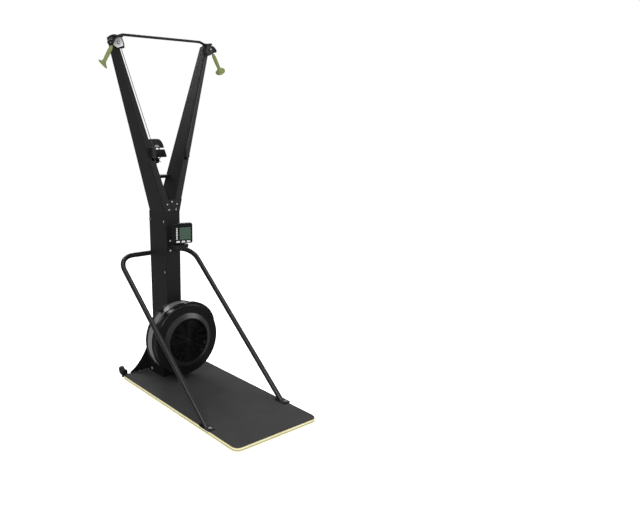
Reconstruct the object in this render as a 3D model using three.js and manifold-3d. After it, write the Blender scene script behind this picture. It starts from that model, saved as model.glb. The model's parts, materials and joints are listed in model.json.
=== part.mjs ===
// Ski ergometer: a column with a V of two arms on a standing platform, a fan flywheel on the
// column's front, and a handle on a cord at each arm's top.
// Millimetres. +X is the user's right hand as seen from the front, +Y is to the rear, +Z is up.
// The origin is on the floor, under the middle of the platform.
import * as THREE from "three";
import { mergeVertices } from "three/addons/utils/BufferGeometryUtils.js";
import Module from "manifold-3d";

const wasm = await Module();
wasm.setup();

// Clearances and counts that all pieces share
const gap = 0.3;
const overrun = 20;
const fineSides = 48;
const rotorSides = 36;
const roundSides = 20;
const smallSides = 12;
const boltSides = 8;
const curveSteps = 8;
const left = -1;
const right = 1;

// Standing platform
const board = { width: 600, length: 1210, thickness: 24, frontRadius: 46, rearRadius: 24 };
const strip = { length: 540, width: 36, thickness: 4, endInset: 70 };
const mat = { thickness: 5.4, edgeInset: 3 };
const boardBottom = strip.thickness + gap;
const boardTop = boardBottom + board.thickness;
const floorTop = boardTop + gap + mat.thickness;
const standing = floorTop + gap;
const platformRear = board.length / 2;

// Column, its foot and the pedestal round it
const column = {
  width: 108,
  depth: 199.5,
  rear: 606,
  top: 1112,
  wall: 3,
  cornerRadius: 8,
  footThickness: 8,
  footMargin: 44,
  footShort: 9,
};
const columnFront = column.rear - column.depth;
const columnBolt = { radius: 5, height: 3, edgeInset: 28, rearInset: 10, lowDrop: 376, highDrop: 55 };
const pedestal = {
  width: 208,
  wall: 2.7,
  shoulder: 190,
  top: 250,
  rearInset: 7.3,
  boltRadius: 6,
  boltHeight: 3.5,
};
const pedestalRear = column.rear - pedestal.rearInset;
const pedestalBolts = [
  { fromRear: 51, high: 20 },
  { fromRear: 90, high: 74 },
  { fromRear: 112, high: 104 },
];
const gusset = { reach: 243, height: 311, thickness: 6, toe: 6, curveReach: 115, curveHeight: 76 };

// Arms, their ties and the plate over the joint
const arm = {
  bottomFrontInset: 7.5,
  bottomRearInset: 10,
  length: 967.7,
  topInner: 304,
  topWidth: 26,
  topSetback: 55.5,
  topDepth: 70,
  wall: 3,
  cornerRadius: 5,
  boltRadius: 4,
  boltHeight: 2.5,
};
const armBottom = column.top + gap;
const armTop = armBottom + arm.length;
const armFrontAtBottom = columnFront + arm.bottomFrontInset;
const armRearAtBottom = column.rear - arm.bottomRearInset;
const armTopFront = columnFront + arm.topSetback;
const armTopRear = armTopFront + arm.topDepth;
const armTopOuter = arm.topInner + arm.topWidth;
const armBolts = [
  { fromFront: 14, drop: 12 },
  { fromFront: 29, drop: 27 },
];
const junction = { rise: 78, thickness: 4, sideInset: 1.5, boltRadius: 5.5, boltHeight: 3 };
const junctionBolts = [
  { across: 0, rise: 66 },
  { across: 35, rise: 51 },
  { across: -35, rise: 51 },
  { across: 26, rise: 18 },
  { across: -26, rise: 18 },
];
const tie = { rise: 200, height: 19, depth: 66 };
const tieBottom = column.top + tie.rise;
const tieTop = tieBottom + tie.height;
const crossbar = {
  radius: 7,
  fromFront: 12,
  endReach: 3,
  endInset: 8,
  bendInset: 42,
  rise: 12,
  bendRadius: 40,
  tabWidth: 24,
  tabThickness: 4,
  tabInboard: 16,
  tabOutboard: 7,
};
const crossbarY = armTopFront + crossbar.fromFront;

// Support hoop
const hoop = {
  radius: 16,
  wall: 2,
  legInset: 17,
  footFromFront: 292,
  topHeight: 833,
  bendRadius: 106,
  footWidth: 54,
  footFront: 62,
  footBack: 34,
  footThickness: 5,
  footCorner: 12,
  boltRadius: 9,
  boltHeight: 7,
  boltFromTube: 44,
};
const hoopX = board.width / 2 - hoop.legInset;
const hoopFootY = hoop.footFromFront - board.length / 2;

// Transport wheels
const wheel = {
  radius: 30,
  width: 24,
  inset: 16,
  height: 50,
  fromBoard: 38,
  treadDepth: 3,
  treadLand: 8,
  pinRadius: 4,
  boreSlack: 0.4,
  cheekThickness: 4,
  cheekSlack: 1.5,
  plateThickness: 4,
  plateHeight: 46,
  plateDrop: 34,
};

// Fan flywheel and its housing, about the shaft's height
const fan = {
  height: 317,
  outerRadius: 234,
  coverDepth: 60,
  bandDepth: 54,
  housingDepth: 27.2,
  wall: 4,
  flangeDepth: 13,
  rimWidth: 23,
  rimProud: 1,
  ridgeWidth: 8,
  recess: 4,
  edgeRound: 4,
  faceWidth: 57,
  bevelWidth: 30,
  bevelProud: 16,
  lipWidth: 4,
  bossWidth: 96,
  bossDrop: 60,
  bossRise: 180,
};
const fanRear = columnFront - gap * 2 - pedestal.wall;
const bandRear = fanRear - fan.housingDepth;
const coverRear = bandRear - fan.bandDepth;
const coverFront = coverRear - fan.coverDepth;
const bevelOuter = fan.outerRadius - fan.faceWidth;
const bevelInner = bevelOuter - fan.bevelWidth;
// The lip's ends as shares of the turn from the top, and how its crest's shape fills out
const lip = {
  height: 17,
  width: 24,
  back: 4,
  steps: 14,
  startShare: -0.03,
  endShare: 0.185,
  fullness: 0.6,
};
const grille = {
  thickness: 3.5,
  barWidth: 3,
  ringPitch: 19,
  ringCount: 6,
  rimWidth: 8,
  hubRadius: 18,
  spokeCount: 12,
};
const band = { inset: 4.5, thickness: 3, slotCount: 24, slotLength: 30, slotShare: 0.5 };
const bandOuter = fan.outerRadius - band.inset;
const bandInner = bandOuter - band.thickness;
const damper = {
  clearance: 1.1,
  thickness: 4,
  edge: 2,
  slotLength: 26,
  restAngle: 34.5,
  travelAngle: 78,
  stepAngle: 12,
  leverThickness: 6,
  leverWidth: 26,
  leverRise: 20,
  knobWidth: 42,
  knobDepth: 34,
  knobHeight: 16,
  knobCorner: 5,
  slotSlack: 3,
};
const damperOuter = bandInner - damper.clearance;
const damperInner = damperOuter - damper.thickness;
const rotor = {
  inset: 28,
  bladeLength: 110,
  discThickness: 3,
  frontGap: 8,
  rearGap: 13.2,
  bladeCount: 20,
  bladeThickness: 2,
  bladeInset: 1,
  bladeLean: 0.3,
  hubRadius: 30,
  ringWidth: 14,
  hubLength: 46,
};
const rotorRadius = fan.outerRadius - rotor.inset;
const rotorFront = coverFront + fan.wall + rotor.frontGap;
const rotorRear = fanRear - fan.wall - rotor.rearGap;
const shaft = { radius: 8, frontGap: 2.2, rearInset: 18, boreSlack: 0.4 };
const bearing = { radius: 18, width: 12, flangeRadius: 24, flangeWidth: 3 };
const drum = {
  radius: 30,
  flangeRadius: 36,
  width: 26,
  flangeWidth: 3,
  inset: 36.5,
  pitch: 40,
};

// Cords, with their sheaves and handles. The drive cord's route is the right side's
const cord = { radius: 2, sides: 8, wrapSteps: 11, bendRadius: 14, bendSteps: 2 };
const cordRoute = [
  [118, 415, 1492],
  [122, 426, 1462],
  [117, 462, 1412],
  [27, 476, 1110],
];
const drumEntryHeight = 420;
const sheave = {
  pitchRadius: 21,
  flangeRadius: 25,
  width: 10,
  grooveFlat: 4.6,
  grooveMouth: 8,
  pinRadius: 4,
  boreSlack: 0.4,
};
const swivel = { inset: 17, ahead: 14, drop: 28, outwardAngle: 2, pinRadius: 4, pinDepth: 8 };
// The drive cord comes up the swivel's axis, from the turn that it makes at the housing's lip
const cordTurnDrop = 28;
const swivelX = arm.topInner - swivel.inset;
const swivelY = armTopFront - swivel.ahead;
const swivelHeight = armTop - swivel.drop;
const handlePull = { slantAngle: 32, drop: 33 };
// Reaches from the swivel's axis and from the sheave pin's height
const shell = {
  inboard: 16,
  outboard: 80,
  above: 30,
  below: 29,
  thickness: 19,
  slot: 11.5,
  clearance: 1,
  mouthWidth: 12,
  lipGap: 0.6,
};
// Each outline goes round as shares of those reaches: outboard or inboard, above or below
const shellShares = [
  [-0.19, 0.93],
  [0.35, 1],
  [0.71, 0.8],
  [0.91, 0.4],
  [1, 0.03],
  [0.95, -0.24],
  [0.65, -0.41],
  [0.41, -0.79],
  [0.25, -1],
  [-0.95, -0.86],
  [-1, -0.14],
];
const cheek = {
  inboard: 8,
  outboard: 52,
  above: 27,
  below: 26,
  thickness: 2.5,
  headRadius: 6.5,
  headHeight: 2.5,
};
const cheekShares = [
  [0.06, 1],
  [0.4, 1],
  [0.73, 0.68],
  [0.98, -0.27],
  [1, -0.54],
  [0.52, -1],
  [-0.75, -0.58],
  [-1, -0.27],
];
const swivelBracket = {
  clearance: 0.6,
  plateThickness: 6,
  inboard: 12,
  ahead: 10,
  corner: 5,
  capWidth: 16,
  capOverhang: 1,
  capRise: 13,
  capRearRise: 6,
  capSlope: 42,
  noseHeight: 6,
  rearInset: 4,
};
const handle = {
  length: 118,
  endRadius: 30,
  endAngle: 23,
  endTurnAngle: 68,
  topRadius: 6,
  shoulderRadius: 9.5,
  gripRadius: 11,
  waistRadius: 10,
  neckRadius: 19,
  palmRadius: 22,
  boreRadius: 2.6,
  boreDepth: 8,
};
const fairlead = { bottom: 1440, height: 60, depth: 24, inboard: 5, width: 24, boreRadius: 3.2 };
const armPort = { bottom: 1424, height: 64, inset: 0.5, width: 17 };

// Monitor and its bracket
const monitor = {
  width: 129,
  height: 124,
  depth: 33,
  corner: 12,
  ahead: 44,
  rise: 11,
  lcdLeft: 36,
  lcdBottom: 24,
  lcdWidth: 81,
  lcdHeight: 75,
  lcdDepth: 3,
  stripLeft: 12,
  stripWidth: 15,
  stripDepth: 1,
};
const button = {
  width: 26,
  height: 13,
  roundness: 0.98,
  proud: 2.5,
  depth: 6,
  travel: 2.5,
  pitch: 34,
  first: 33,
  rise: 12,
};
const turntable = { x: 26, fromColumn: 43.5, restAngle: 15, pinRadius: 5, pinDepth: 12 };
const turntableY = columnFront - turntable.fromColumn;
const tilt = {
  rise: 14,
  radius: 8,
  width: 36,
  pinRadius: 3,
  boreSlack: 0.4,
  earWidth: 5,
  plateThickness: 5,
};
// The tray is under the turntable, and the wall plate is to its left
const bracket = {
  drop: 193.1,
  trayThickness: 24,
  trayLeft: 54,
  trayWidth: 98,
  reach: 21,
  chamfer: 7,
  plateLeft: 70,
  plateWidth: 48,
  plateBelow: 30.9,
  plateHeight: 91,
  plateThickness: 4,
  boltRadius: 5.5,
  boltHeight: 3,
  boltInset: 15,
  boltAcross: 16,
};
const bracketTop = column.top - bracket.drop;

// Phone and tablet holder between the arms. Its heights are rises over the tilt screw
const holder = {
  fromRear: 16,
  stemRadius: 6,
  flangeRadius: 15,
  flangeThickness: 5,
  pivotRise: 90,
  earInner: 10,
  earOuter: 16,
  earRadius: 14,
  lugRadius: 12,
  screwRadius: 2.8,
  boreSlack: 0.4,
  ahead: 24,
  behind: 2,
  bottomRise: 17,
  splitRise: 63,
  jawRise: 72,
  topRise: 126,
  baseHalf: 68,
  splitHalf: 53,
  jawHalf: 50,
  jawCorner: 7,
  rodX: 20,
  rodRadius: 4,
  rodRise: 101,
  jawDrop: 8,
  rodDepth: 8,
  rodAhead: 11,
  lipReach: 20,
  lipHeight: 18,
  lipThickness: 4,
  clawWidth: 22,
  clawX: 30,
  shelfThickness: 6,
  screwHeadRadius: 4,
  screwHeadHeight: 2,
  screwHeadX: 38,
  screwHeadRise: 88,
};
// The jaw's right shoulder falls from its crown: both as shares of the jaw's half width
const shoulder = { crownShare: 0, bulgeShare: 0.68 };
const holderY = column.rear - holder.fromRear;
const holderFront = holderY - holder.ahead;
const holderRear = holderY + holder.behind;
const holderPivot = tieTop + holder.pivotRise;
const knob = {
  hubRadius: 8,
  hubLength: 8,
  wingReach: 24,
  wingThickness: 4,
  wingHeight: 7,
  rootShare: 0.4,
  backShare: 0.9,
  bulgeShare: 1.3,
  bendShare: 0.7,
};

// Materials
function finish(color, roughness, metalness) {
  return () => new THREE.MeshStandardMaterial({ color, roughness, metalness });
}
const powderCoat = finish(0x1b1b1d, 0.55, 0.1);
const plywood = finish(0xe6ddb8, 0.6, 0);
const matRubber = finish(0x3b3b3d, 0.9, 0);
const rubber = finish(0x18181a, 0.85, 0);
const glossPlastic = finish(0x161618, 0.3, 0);
const mattePlastic = finish(0x232325, 0.6, 0);
const perforatedSteel = finish(0x8d8f92, 0.45, 0.7);
const steel = finish(0x9a9b9e, 0.35, 0.9);
const polishedSteel = finish(0xc9cacd, 0.25, 0.9);
const oliveGrip = finish(0x82913f, 0.6, 0);
const cordBlack = finish(0x2a2a2c, 0.8, 0);
const lcdGlass = finish(0x6f8674, 0.2, 0);
const whitePlastic = finish(0xe4e6e4, 0.4, 0);

// Solids: three.js geometry in and out, joined and cut by manifold-3d
function toSolid(geometry) {
  const bare = geometry.index ? geometry.toNonIndexed() : geometry.clone();
  bare.deleteAttribute("normal");
  bare.deleteAttribute("uv");
  const merged = mergeVertices(bare, 1e-4);
  const vertProperties = merged.attributes.position.array;
  const triVerts = new Uint32Array(merged.index.array);
  const made = new wasm.Manifold(new wasm.Mesh({ numProp: 3, vertProperties, triVerts }));
  if (made.volume() > 0) return made;
  for (let i = 0; i < triVerts.length; i += 3) {
    const first = triVerts[i];
    triVerts[i] = triVerts[i + 1];
    triVerts[i + 1] = first;
  }
  return new wasm.Manifold(new wasm.Mesh({ numProp: 3, vertProperties, triVerts }));
}

function fromSolid(solid) {
  const mesh = solid.getMesh();
  const geometry = new THREE.BufferGeometry();
  geometry.setAttribute("position", new THREE.BufferAttribute(mesh.vertProperties, 3));
  geometry.setIndex(new THREE.BufferAttribute(mesh.triVerts, 1));
  geometry.computeVertexNormals();
  return geometry;
}

function join(...geometries) {
  return fromSolid(geometries.map(toSolid).reduce((whole, next) => whole.add(next)));
}

function cut(geometry, ...tools) {
  const whole = toSolid(geometry);
  return fromSolid(tools.map(toSolid).reduce((rest, tool) => rest.subtract(tool), whole));
}

// Shapes
function block(x, y, z) {
  const box = new THREE.BoxGeometry(x[1] - x[0], y[1] - y[0], z[1] - z[0]);
  return box.translate((x[0] + x[1]) / 2, (y[0] + y[1]) / 2, (z[0] + z[1]) / 2);
}

function polygon(points) {
  return new THREE.Shape(points.map(([x, y]) => new THREE.Vector2(x, y)));
}

function roundedRectangle(x, y, radius, steps = 5, farRadius = radius) {
  const shape = new THREE.Shape();
  const corners = [
    [x[1] - radius, y[0] + radius, -0.5, radius],
    [x[1] - farRadius, y[1] - farRadius, 0, farRadius],
    [x[0] + farRadius, y[1] - farRadius, 0.5, farRadius],
    [x[0] + radius, y[0] + radius, 1, radius],
  ];
  const points = corners.flatMap(([cx, cy, quarter, round]) =>
    Array.from({ length: steps + 1 }, (_, i) => {
      const angle = (quarter + (0.5 * i) / steps) * Math.PI;
      return new THREE.Vector2(cx + round * Math.cos(angle), cy + round * Math.sin(angle));
    }),
  );
  shape.setFromPoints(points);
  return shape;
}

function ringShape(outer, inner, sides) {
  const circle = (radius) =>
    Array.from({ length: sides }, (_, i) => {
      const angle = (2 * Math.PI * i) / sides;
      return new THREE.Vector2(radius * Math.cos(angle), radius * Math.sin(angle));
    });
  const shape = new THREE.Shape(circle(outer));
  if (inner > 0) shape.holes.push(new THREE.Path(circle(inner)));
  return shape;
}

function extrude(shape, depth) {
  return new THREE.ExtrudeGeometry(shape, { depth, bevelEnabled: false, curveSegments: curveSteps });
}

// A shape in X and Y, from one height to another
function slabUp(shape, z) {
  return extrude(shape, z[1] - z[0]).translate(0, 0, z[0]);
}

// A shape in X and Z, from one depth to another
function slabBack(shape, y) {
  return extrude(shape, y[1] - y[0])
    .rotateX(Math.PI / 2)
    .translate(0, y[1], 0);
}

// A shape in Y and Z, from one side to another
function slabAcross(shape, x) {
  const turn = new THREE.Matrix4().makeBasis(
    new THREE.Vector3(0, 1, 0),
    new THREE.Vector3(0, 0, 1),
    new THREE.Vector3(1, 0, 0),
  );
  return extrude(shape, x[1] - x[0])
    .applyMatrix4(turn)
    .translate(x[0], 0, 0);
}

// A closed profile of [radius, depth] points turned about the Y axis
function turned(profile, sides) {
  const points = profile.map(([r, y]) => new THREE.Vector2(r, y));
  if (THREE.ShapeUtils.area(points) < 0) points.reverse();
  return new THREE.LatheGeometry([...points, points[0]], sides);
}

function rodBack(radius, y, sides = smallSides) {
  const rod = new THREE.CylinderGeometry(radius, radius, y[1] - y[0], sides);
  return rod.translate(0, (y[0] + y[1]) / 2, 0);
}

function rodAcross(radius, x, sides = smallSides) {
  const rod = new THREE.CylinderGeometry(radius, radius, x[1] - x[0], sides);
  return rod.rotateZ(Math.PI / 2).translate((x[0] + x[1]) / 2, 0, 0);
}

function rodUp(radius, z, sides = smallSides) {
  const rod = new THREE.CylinderGeometry(radius, radius, z[1] - z[0], sides);
  return rod.rotateX(Math.PI / 2).translate(0, 0, (z[0] + z[1]) / 2);
}

// A box whose lower and upper rectangles differ, with rounded upright edges
function loft(low, high, radius) {
  const steps = 2;
  const lowPoints = roundedRectangle(low.x, low.y, radius, steps).getPoints();
  const highPoints = roundedRectangle(high.x, high.y, radius, steps).getPoints();
  const ring = lowPoints.slice(0, 4 * (steps + 1));
  const count = ring.length;
  const position = [];
  ring.forEach((p) => position.push(p.x, p.y, low.z));
  highPoints.slice(0, count).forEach((p) => position.push(p.x, p.y, high.z));
  const index = [];
  for (let i = 0; i < count; i += 1) {
    const next = (i + 1) % count;
    index.push(i, next, count + next, i, count + next, count + i);
  }
  for (const [a, b, c] of THREE.ShapeUtils.triangulateShape(ring, [])) {
    index.push(c, b, a, count + a, count + b, count + c);
  }
  const geometry = new THREE.BufferGeometry();
  geometry.setAttribute("position", new THREE.Float32BufferAttribute(position, 3));
  geometry.setIndex(index);
  return geometry;
}

// A body through rings of radius, depth below its top and tilt towards one side
function ringBody(rings, sides, towards) {
  const position = [];
  for (const [radius, depth, tiltAngle] of rings) {
    for (let i = 0; i < sides; i += 1) {
      const angle = (2 * Math.PI * i) / sides;
      const along = radius * Math.cos(angle) * Math.cos(tiltAngle);
      const across = radius * Math.sin(angle);
      position.push(
        along * Math.cos(towards) - across * Math.sin(towards),
        along * Math.sin(towards) + across * Math.cos(towards),
        radius * Math.cos(angle) * Math.sin(tiltAngle) - depth,
      );
    }
  }
  const index = [];
  const last = (rings.length - 1) * sides;
  for (let start = 0; start < last; start += sides) {
    for (let i = 0; i < sides; i += 1) {
      const next = (i + 1) % sides;
      index.push(start + i, start + sides + i, start + next);
      index.push(start + next, start + sides + i, start + sides + next);
    }
  }
  for (let i = 1; i < sides - 1; i += 1) {
    index.push(0, i, i + 1, last, last + i + 1, last + i);
  }
  const geometry = new THREE.BufferGeometry();
  geometry.setAttribute("position", new THREE.Float32BufferAttribute(position, 3));
  geometry.setIndex(index);
  return geometry;
}

// An outline whose points are shares of a piece's reaches from its own zero
function shareOutline(shares, size) {
  return polygon(
    shares.map(([across, up]) => [
      across * (across > 0 ? size.outboard : size.inboard),
      up * (up > 0 ? size.above : size.below),
    ]),
  );
}

// A route of straight runs and round bends, met only at the stations that its shape needs
class Route extends THREE.Curve {
  constructor(corners, bendRadius, bendSteps) {
    super();
    const first = corners[0];
    this.stations = [{ point: first, tangent: corners[1].clone().sub(first).normalize() }];
    for (let i = 1; i < corners.length - 1; i += 1) {
      const into = corners[i].clone().sub(corners[i - 1]).normalize();
      const out = corners[i + 1].clone().sub(corners[i]).normalize();
      const turn = into.angleTo(out);
      const setback = bendRadius * Math.tan(turn / 2);
      const start = corners[i].clone().addScaledVector(into, -setback);
      const inward = out.clone().addScaledVector(into, -out.dot(into)).normalize();
      for (let k = 0; k <= bendSteps; k += 1) {
        const angle = (turn * k) / bendSteps;
        const point = start
          .clone()
          .addScaledVector(into, bendRadius * Math.sin(angle))
          .addScaledVector(inward, bendRadius * (1 - Math.cos(angle)));
        const tangent = into.clone().multiplyScalar(Math.cos(angle));
        tangent.addScaledVector(inward, Math.sin(angle));
        this.stations.push({ point, tangent });
      }
    }
    const last = corners.at(-1);
    this.stations.push({ point: last, tangent: last.clone().sub(corners.at(-2)).normalize() });
  }

  station(share) {
    return this.stations[Math.round(share * (this.stations.length - 1))];
  }

  getPointAt(share) {
    return this.station(share).point.clone();
  }

  getTangentAt(share) {
    return this.station(share).tangent.clone();
  }
}

function pipe(route, outer, inner, sides) {
  const steps = route.stations.length - 1;
  return new THREE.ExtrudeGeometry(ringShape(outer, inner, sides), { steps, extrudePath: route });
}

const at = (x, y, z) => new THREE.Vector3(x, y, z);

// Scene graph
const machine = new THREE.Group();

function place(parent, name, geometry, material, position = at(0, 0, 0)) {
  const mesh = new THREE.Mesh(geometry, material());
  mesh.name = name;
  mesh.position.copy(position);
  parent.add(mesh);
  return mesh;
}

function sided(side, near, far) {
  return [Math.min(side * near, side * far), Math.max(side * near, side * far)];
}

function sideName(side) {
  return side === left ? "left" : "right";
}

// Platform: plywood board, mat and rubber strips
function makePlatform() {
  const outline = (inset) =>
    roundedRectangle(
      [-board.width / 2 + inset, board.width / 2 - inset],
      [-board.length / 2 + inset, board.length / 2 - inset],
      board.frontRadius - inset,
      6,
      board.rearRadius - inset,
    );
  place(machine, "platform_board", slabUp(outline(0), [boardBottom, boardTop]), plywood);
  const matShape = outline(mat.edgeInset);
  place(machine, "floor_mat", slabUp(matShape, [boardTop + gap, floorTop]), matRubber);
  const rows = { front: -1, middle: 0, rear: 1 };
  const barX = [-strip.length / 2, strip.length / 2];
  const barY = [-strip.width / 2, strip.width / 2];
  for (const [row, sign] of Object.entries(rows)) {
    const bar = block(barX, barY, [0, strip.thickness]);
    const y = sign * (board.length / 2 - strip.endInset);
    place(machine, "rubber_strip_" + row, bar, rubber, at(0, y, 0));
  }
}

// Transport wheels in their brackets, on the platform's rear edge
function makeWheel(side) {
  const across = side * (board.width / 2 - wheel.inset);
  const centre = at(across, platformRear + wheel.fromBoard, wheel.height);
  const half = wheel.width / 2;
  const tread = wheel.radius - wheel.treadDepth;
  const profile = [
    [wheel.pinRadius + wheel.boreSlack, -half],
    [tread, -half],
    [wheel.radius, -wheel.treadLand],
    [wheel.radius, wheel.treadLand],
    [tread, half],
    [wheel.pinRadius + wheel.boreSlack, half],
  ];
  const roller = turned(profile, roundSides).rotateZ(Math.PI / 2);
  place(machine, "transport_wheel_" + sideName(side), roller, rubber, centre);
  const inner = half + wheel.cheekSlack;
  const outer = inner + wheel.cheekThickness;
  const plateY = [gap - wheel.fromBoard, gap - wheel.fromBoard + wheel.plateThickness];
  const plateZ = [-wheel.plateDrop, wheel.plateHeight - wheel.plateDrop];
  const cheekShape = polygon([
    [plateY[0], plateZ[0]],
    [wheel.pinRadius, -wheel.pinRadius * 2],
    [wheel.pinRadius * 2, 0],
    [wheel.pinRadius, wheel.pinRadius * 2],
    [plateY[0], plateZ[1]],
  ]);
  const fork = join(
    block([-outer - wheel.cheekThickness, outer + wheel.cheekThickness], plateY, plateZ),
    slabAcross(cheekShape, [inner, outer]),
    slabAcross(cheekShape, [-outer, -inner]),
    rodAcross(wheel.pinRadius, [-outer - wheel.cheekThickness / 2, outer + wheel.cheekThickness / 2]),
  );
  place(machine, "wheel_bracket_" + sideName(side), fork, powderCoat, centre);
}

// Column with its foot flange, side bolts and the bearing hole
function makeColumn() {
  const half = column.width / 2;
  const outline = roundedRectangle([-half, half], [columnFront, column.rear], column.cornerRadius, 3);
  const bore = roundedRectangle(
    [-half + column.wall, half - column.wall],
    [columnFront + column.wall, column.rear - column.wall],
    column.cornerRadius - column.wall,
    3,
  );
  const tube = slabUp(outline, [standing, column.top]);
  const foot = block(
    [-half - column.footMargin, half + column.footMargin],
    [columnFront + column.footShort, pedestalRear - column.footShort],
    [standing, standing + column.footThickness],
  );
  const heads = [];
  for (const side of [left, right]) {
    for (const y of [columnFront + columnBolt.edgeInset, column.rear - columnBolt.rearInset]) {
      for (const drop of [columnBolt.lowDrop, columnBolt.highDrop]) {
        const ends = sided(side, half - column.wall / 2, half + columnBolt.height);
        const head = rodAcross(columnBolt.radius, ends, boltSides);
        heads.push(head.translate(0, y, column.top - drop));
      }
    }
  }
  const bearingY = [columnFront - overrun, columnFront + overrun];
  const bearingHole = rodBack(bearing.radius + gap, bearingY, roundSides);
  const hollow = slabUp(bore, [standing - overrun, column.top + overrun]);
  const solid = cut(join(tube, foot, ...heads), hollow, bearingHole.translate(0, 0, fan.height));
  place(machine, "column", solid, powderCoat);
}

// Pedestal cover round the column's foot
function makePedestal() {
  const neck = column.width / 2 + gap;
  const profile = (inset, low, high) =>
    polygon([
      [-pedestal.width / 2 + inset, low],
      [pedestal.width / 2 - inset, low],
      [pedestal.width / 2 - inset, pedestal.shoulder - inset / 2],
      [neck + pedestal.wall - inset / 2, high],
      [-neck - pedestal.wall + inset / 2, high],
      [-pedestal.width / 2 + inset, pedestal.shoulder - inset / 2],
    ]);
  const front = columnFront - gap - pedestal.wall;
  const outer = slabBack(profile(0, standing, pedestal.top), [front, pedestalRear]);
  const room = profile(pedestal.wall, standing - overrun, pedestal.top - pedestal.wall);
  const inner = slabBack(room, [columnFront - gap, pedestalRear + overrun]);
  const neckHeights = [standing, pedestal.top + overrun];
  const neckHole = block([-neck, neck], [columnFront - gap, column.rear], neckHeights);
  const heads = [];
  for (const side of [left, right]) {
    for (const bolt of pedestalBolts) {
      const wallMiddle = (pedestal.width - pedestal.wall) / 2;
      const ends = sided(side, wallMiddle, pedestal.width / 2 + pedestal.boltHeight);
      const head = rodAcross(pedestal.boltRadius, ends, boltSides);
      heads.push(head.translate(0, pedestalRear - bolt.fromRear, standing + bolt.high));
    }
  }
  place(machine, "pedestal_cover", join(cut(outer, inner, neckHole), ...heads), powderCoat);
}

// Flared plates that brace the column's foot to the platform's rear edge
function makeGusset(side) {
  const inner = column.width / 2 + gap;
  const shape = new THREE.Shape();
  shape.moveTo(side * inner, standing);
  shape.lineTo(side * gusset.reach, standing);
  shape.lineTo(side * gusset.reach, standing + gusset.toe);
  shape.quadraticCurveTo(
    side * gusset.curveReach,
    standing + gusset.curveHeight,
    side * inner,
    standing + gusset.height,
  );
  shape.closePath();
  const y = [platformRear - gusset.thickness, platformRear];
  place(machine, "base_gusset_" + sideName(side), slabBack(shape, y), powderCoat);
}

// Arms: tapered box beams that lean out to a V
function armAt(z) {
  const share = (z - armBottom) / arm.length;
  const between = (low, high) => low + (high - low) * share;
  return {
    inner: between(gap / 2, arm.topInner),
    outer: between(column.width / 2, armTopOuter),
    front: between(armFrontAtBottom, armTopFront),
    rear: between(armRearAtBottom, armTopRear),
  };
}

function armSection(side, z, inset) {
  const s = armAt(z);
  return { x: sided(side, s.inner + inset, s.outer - inset), y: [s.front + inset, s.rear - inset], z };
}

function makeArm(side) {
  const beam = loft(armSection(side, armBottom, 0), armSection(side, armTop, 0), arm.cornerRadius);
  const room = loft(
    armSection(side, armBottom - overrun, arm.wall),
    armSection(side, armTop - arm.wall, arm.wall),
    arm.cornerRadius - arm.wall,
  );
  const section = armAt(armPort.bottom + armPort.height / 2);
  const portInner = section.inner + armPort.inset;
  const x = sided(side, portInner, portInner + armPort.width);
  const y = [section.front - arm.wall * 2, section.front + arm.wall * 2];
  const port = block(x, y, [armPort.bottom, armPort.bottom + armPort.height]);
  const heads = armBolts.flatMap((bolt) => {
    const z = armTop - bolt.drop;
    const s = armAt(z);
    const outer = sided(side, s.outer - arm.wall, s.outer + arm.boltHeight);
    const inner = sided(side, s.inner + arm.wall, s.inner - arm.boltHeight);
    return [outer, inner].map((ends) => {
      const head = rodAcross(arm.boltRadius, ends, boltSides);
      return head.translate(0, s.front + bolt.fromFront, z);
    });
  });
  place(machine, "arm_" + sideName(side), join(cut(beam, room, port), ...heads), powderCoat);
}

// Bolted plate over the joint of column and arms, leaning as the arms' front faces do
function makeJunction() {
  const lean = Math.atan((armTopFront - armFrontAtBottom) / arm.length);
  const low = armBottom + gap;
  const high = column.top + junction.rise;
  const lowHalf = armAt(low).outer - junction.sideInset;
  const highHalf = armAt(high).outer - junction.sideInset;
  const shape = polygon([
    [-lowHalf, 0],
    [lowHalf, 0],
    [highHalf, high - low],
    [-highHalf, high - low],
  ]);
  const face = -gap - junction.thickness;
  const plate = slabBack(shape, [face, -gap]);
  const heads = junctionBolts.map((bolt) => {
    const head = rodBack(junction.boltRadius, [face - junction.boltHeight, -gap], boltSides);
    return head.translate(bolt.across, 0, column.top + bolt.rise - low);
  });
  const position = at(0, armFrontAtBottom, low);
  const mesh = place(machine, "junction_plate", join(plate, ...heads), powderCoat, position);
  mesh.rotation.x = -lean;
}

// Tie between the arms, which also carries the holder
function makeTie() {
  const section = (z) => {
    const reach = armAt(z).inner - gap;
    return { x: [-reach, reach], y: [column.rear - tie.depth, column.rear], z };
  };
  const bar = loft(section(tieBottom), section(tieTop), arm.cornerRadius);
  place(machine, "tie_bar", bar, powderCoat);
}

// Bent bar over the arms' tops, with a flat tab at each end
function makeCrossbar() {
  const seat = armTop + gap;
  const endHeight = seat + crossbar.radius;
  const end = arm.topInner + crossbar.endReach;
  const corners = [left, right].flatMap((side) => {
    const half = [
      at(side * end, crossbarY, endHeight),
      at(side * (arm.topInner - crossbar.endInset), crossbarY, endHeight),
      at(side * (arm.topInner - crossbar.bendInset), crossbarY, endHeight + crossbar.rise),
    ];
    return side === left ? half : half.reverse();
  });
  const bar = pipe(new Route(corners, crossbar.bendRadius, 2), crossbar.radius, 0, smallSides);
  const tabs = [left, right].map((side) =>
    block(
      sided(side, end - crossbar.tabInboard, end + crossbar.tabOutboard),
      [crossbarY - crossbar.tabWidth / 2, crossbarY + crossbar.tabWidth / 2],
      [seat, seat + crossbar.tabThickness],
    ),
  );
  place(machine, "crossbar", join(bar, ...tabs), powderCoat);
}

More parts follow.
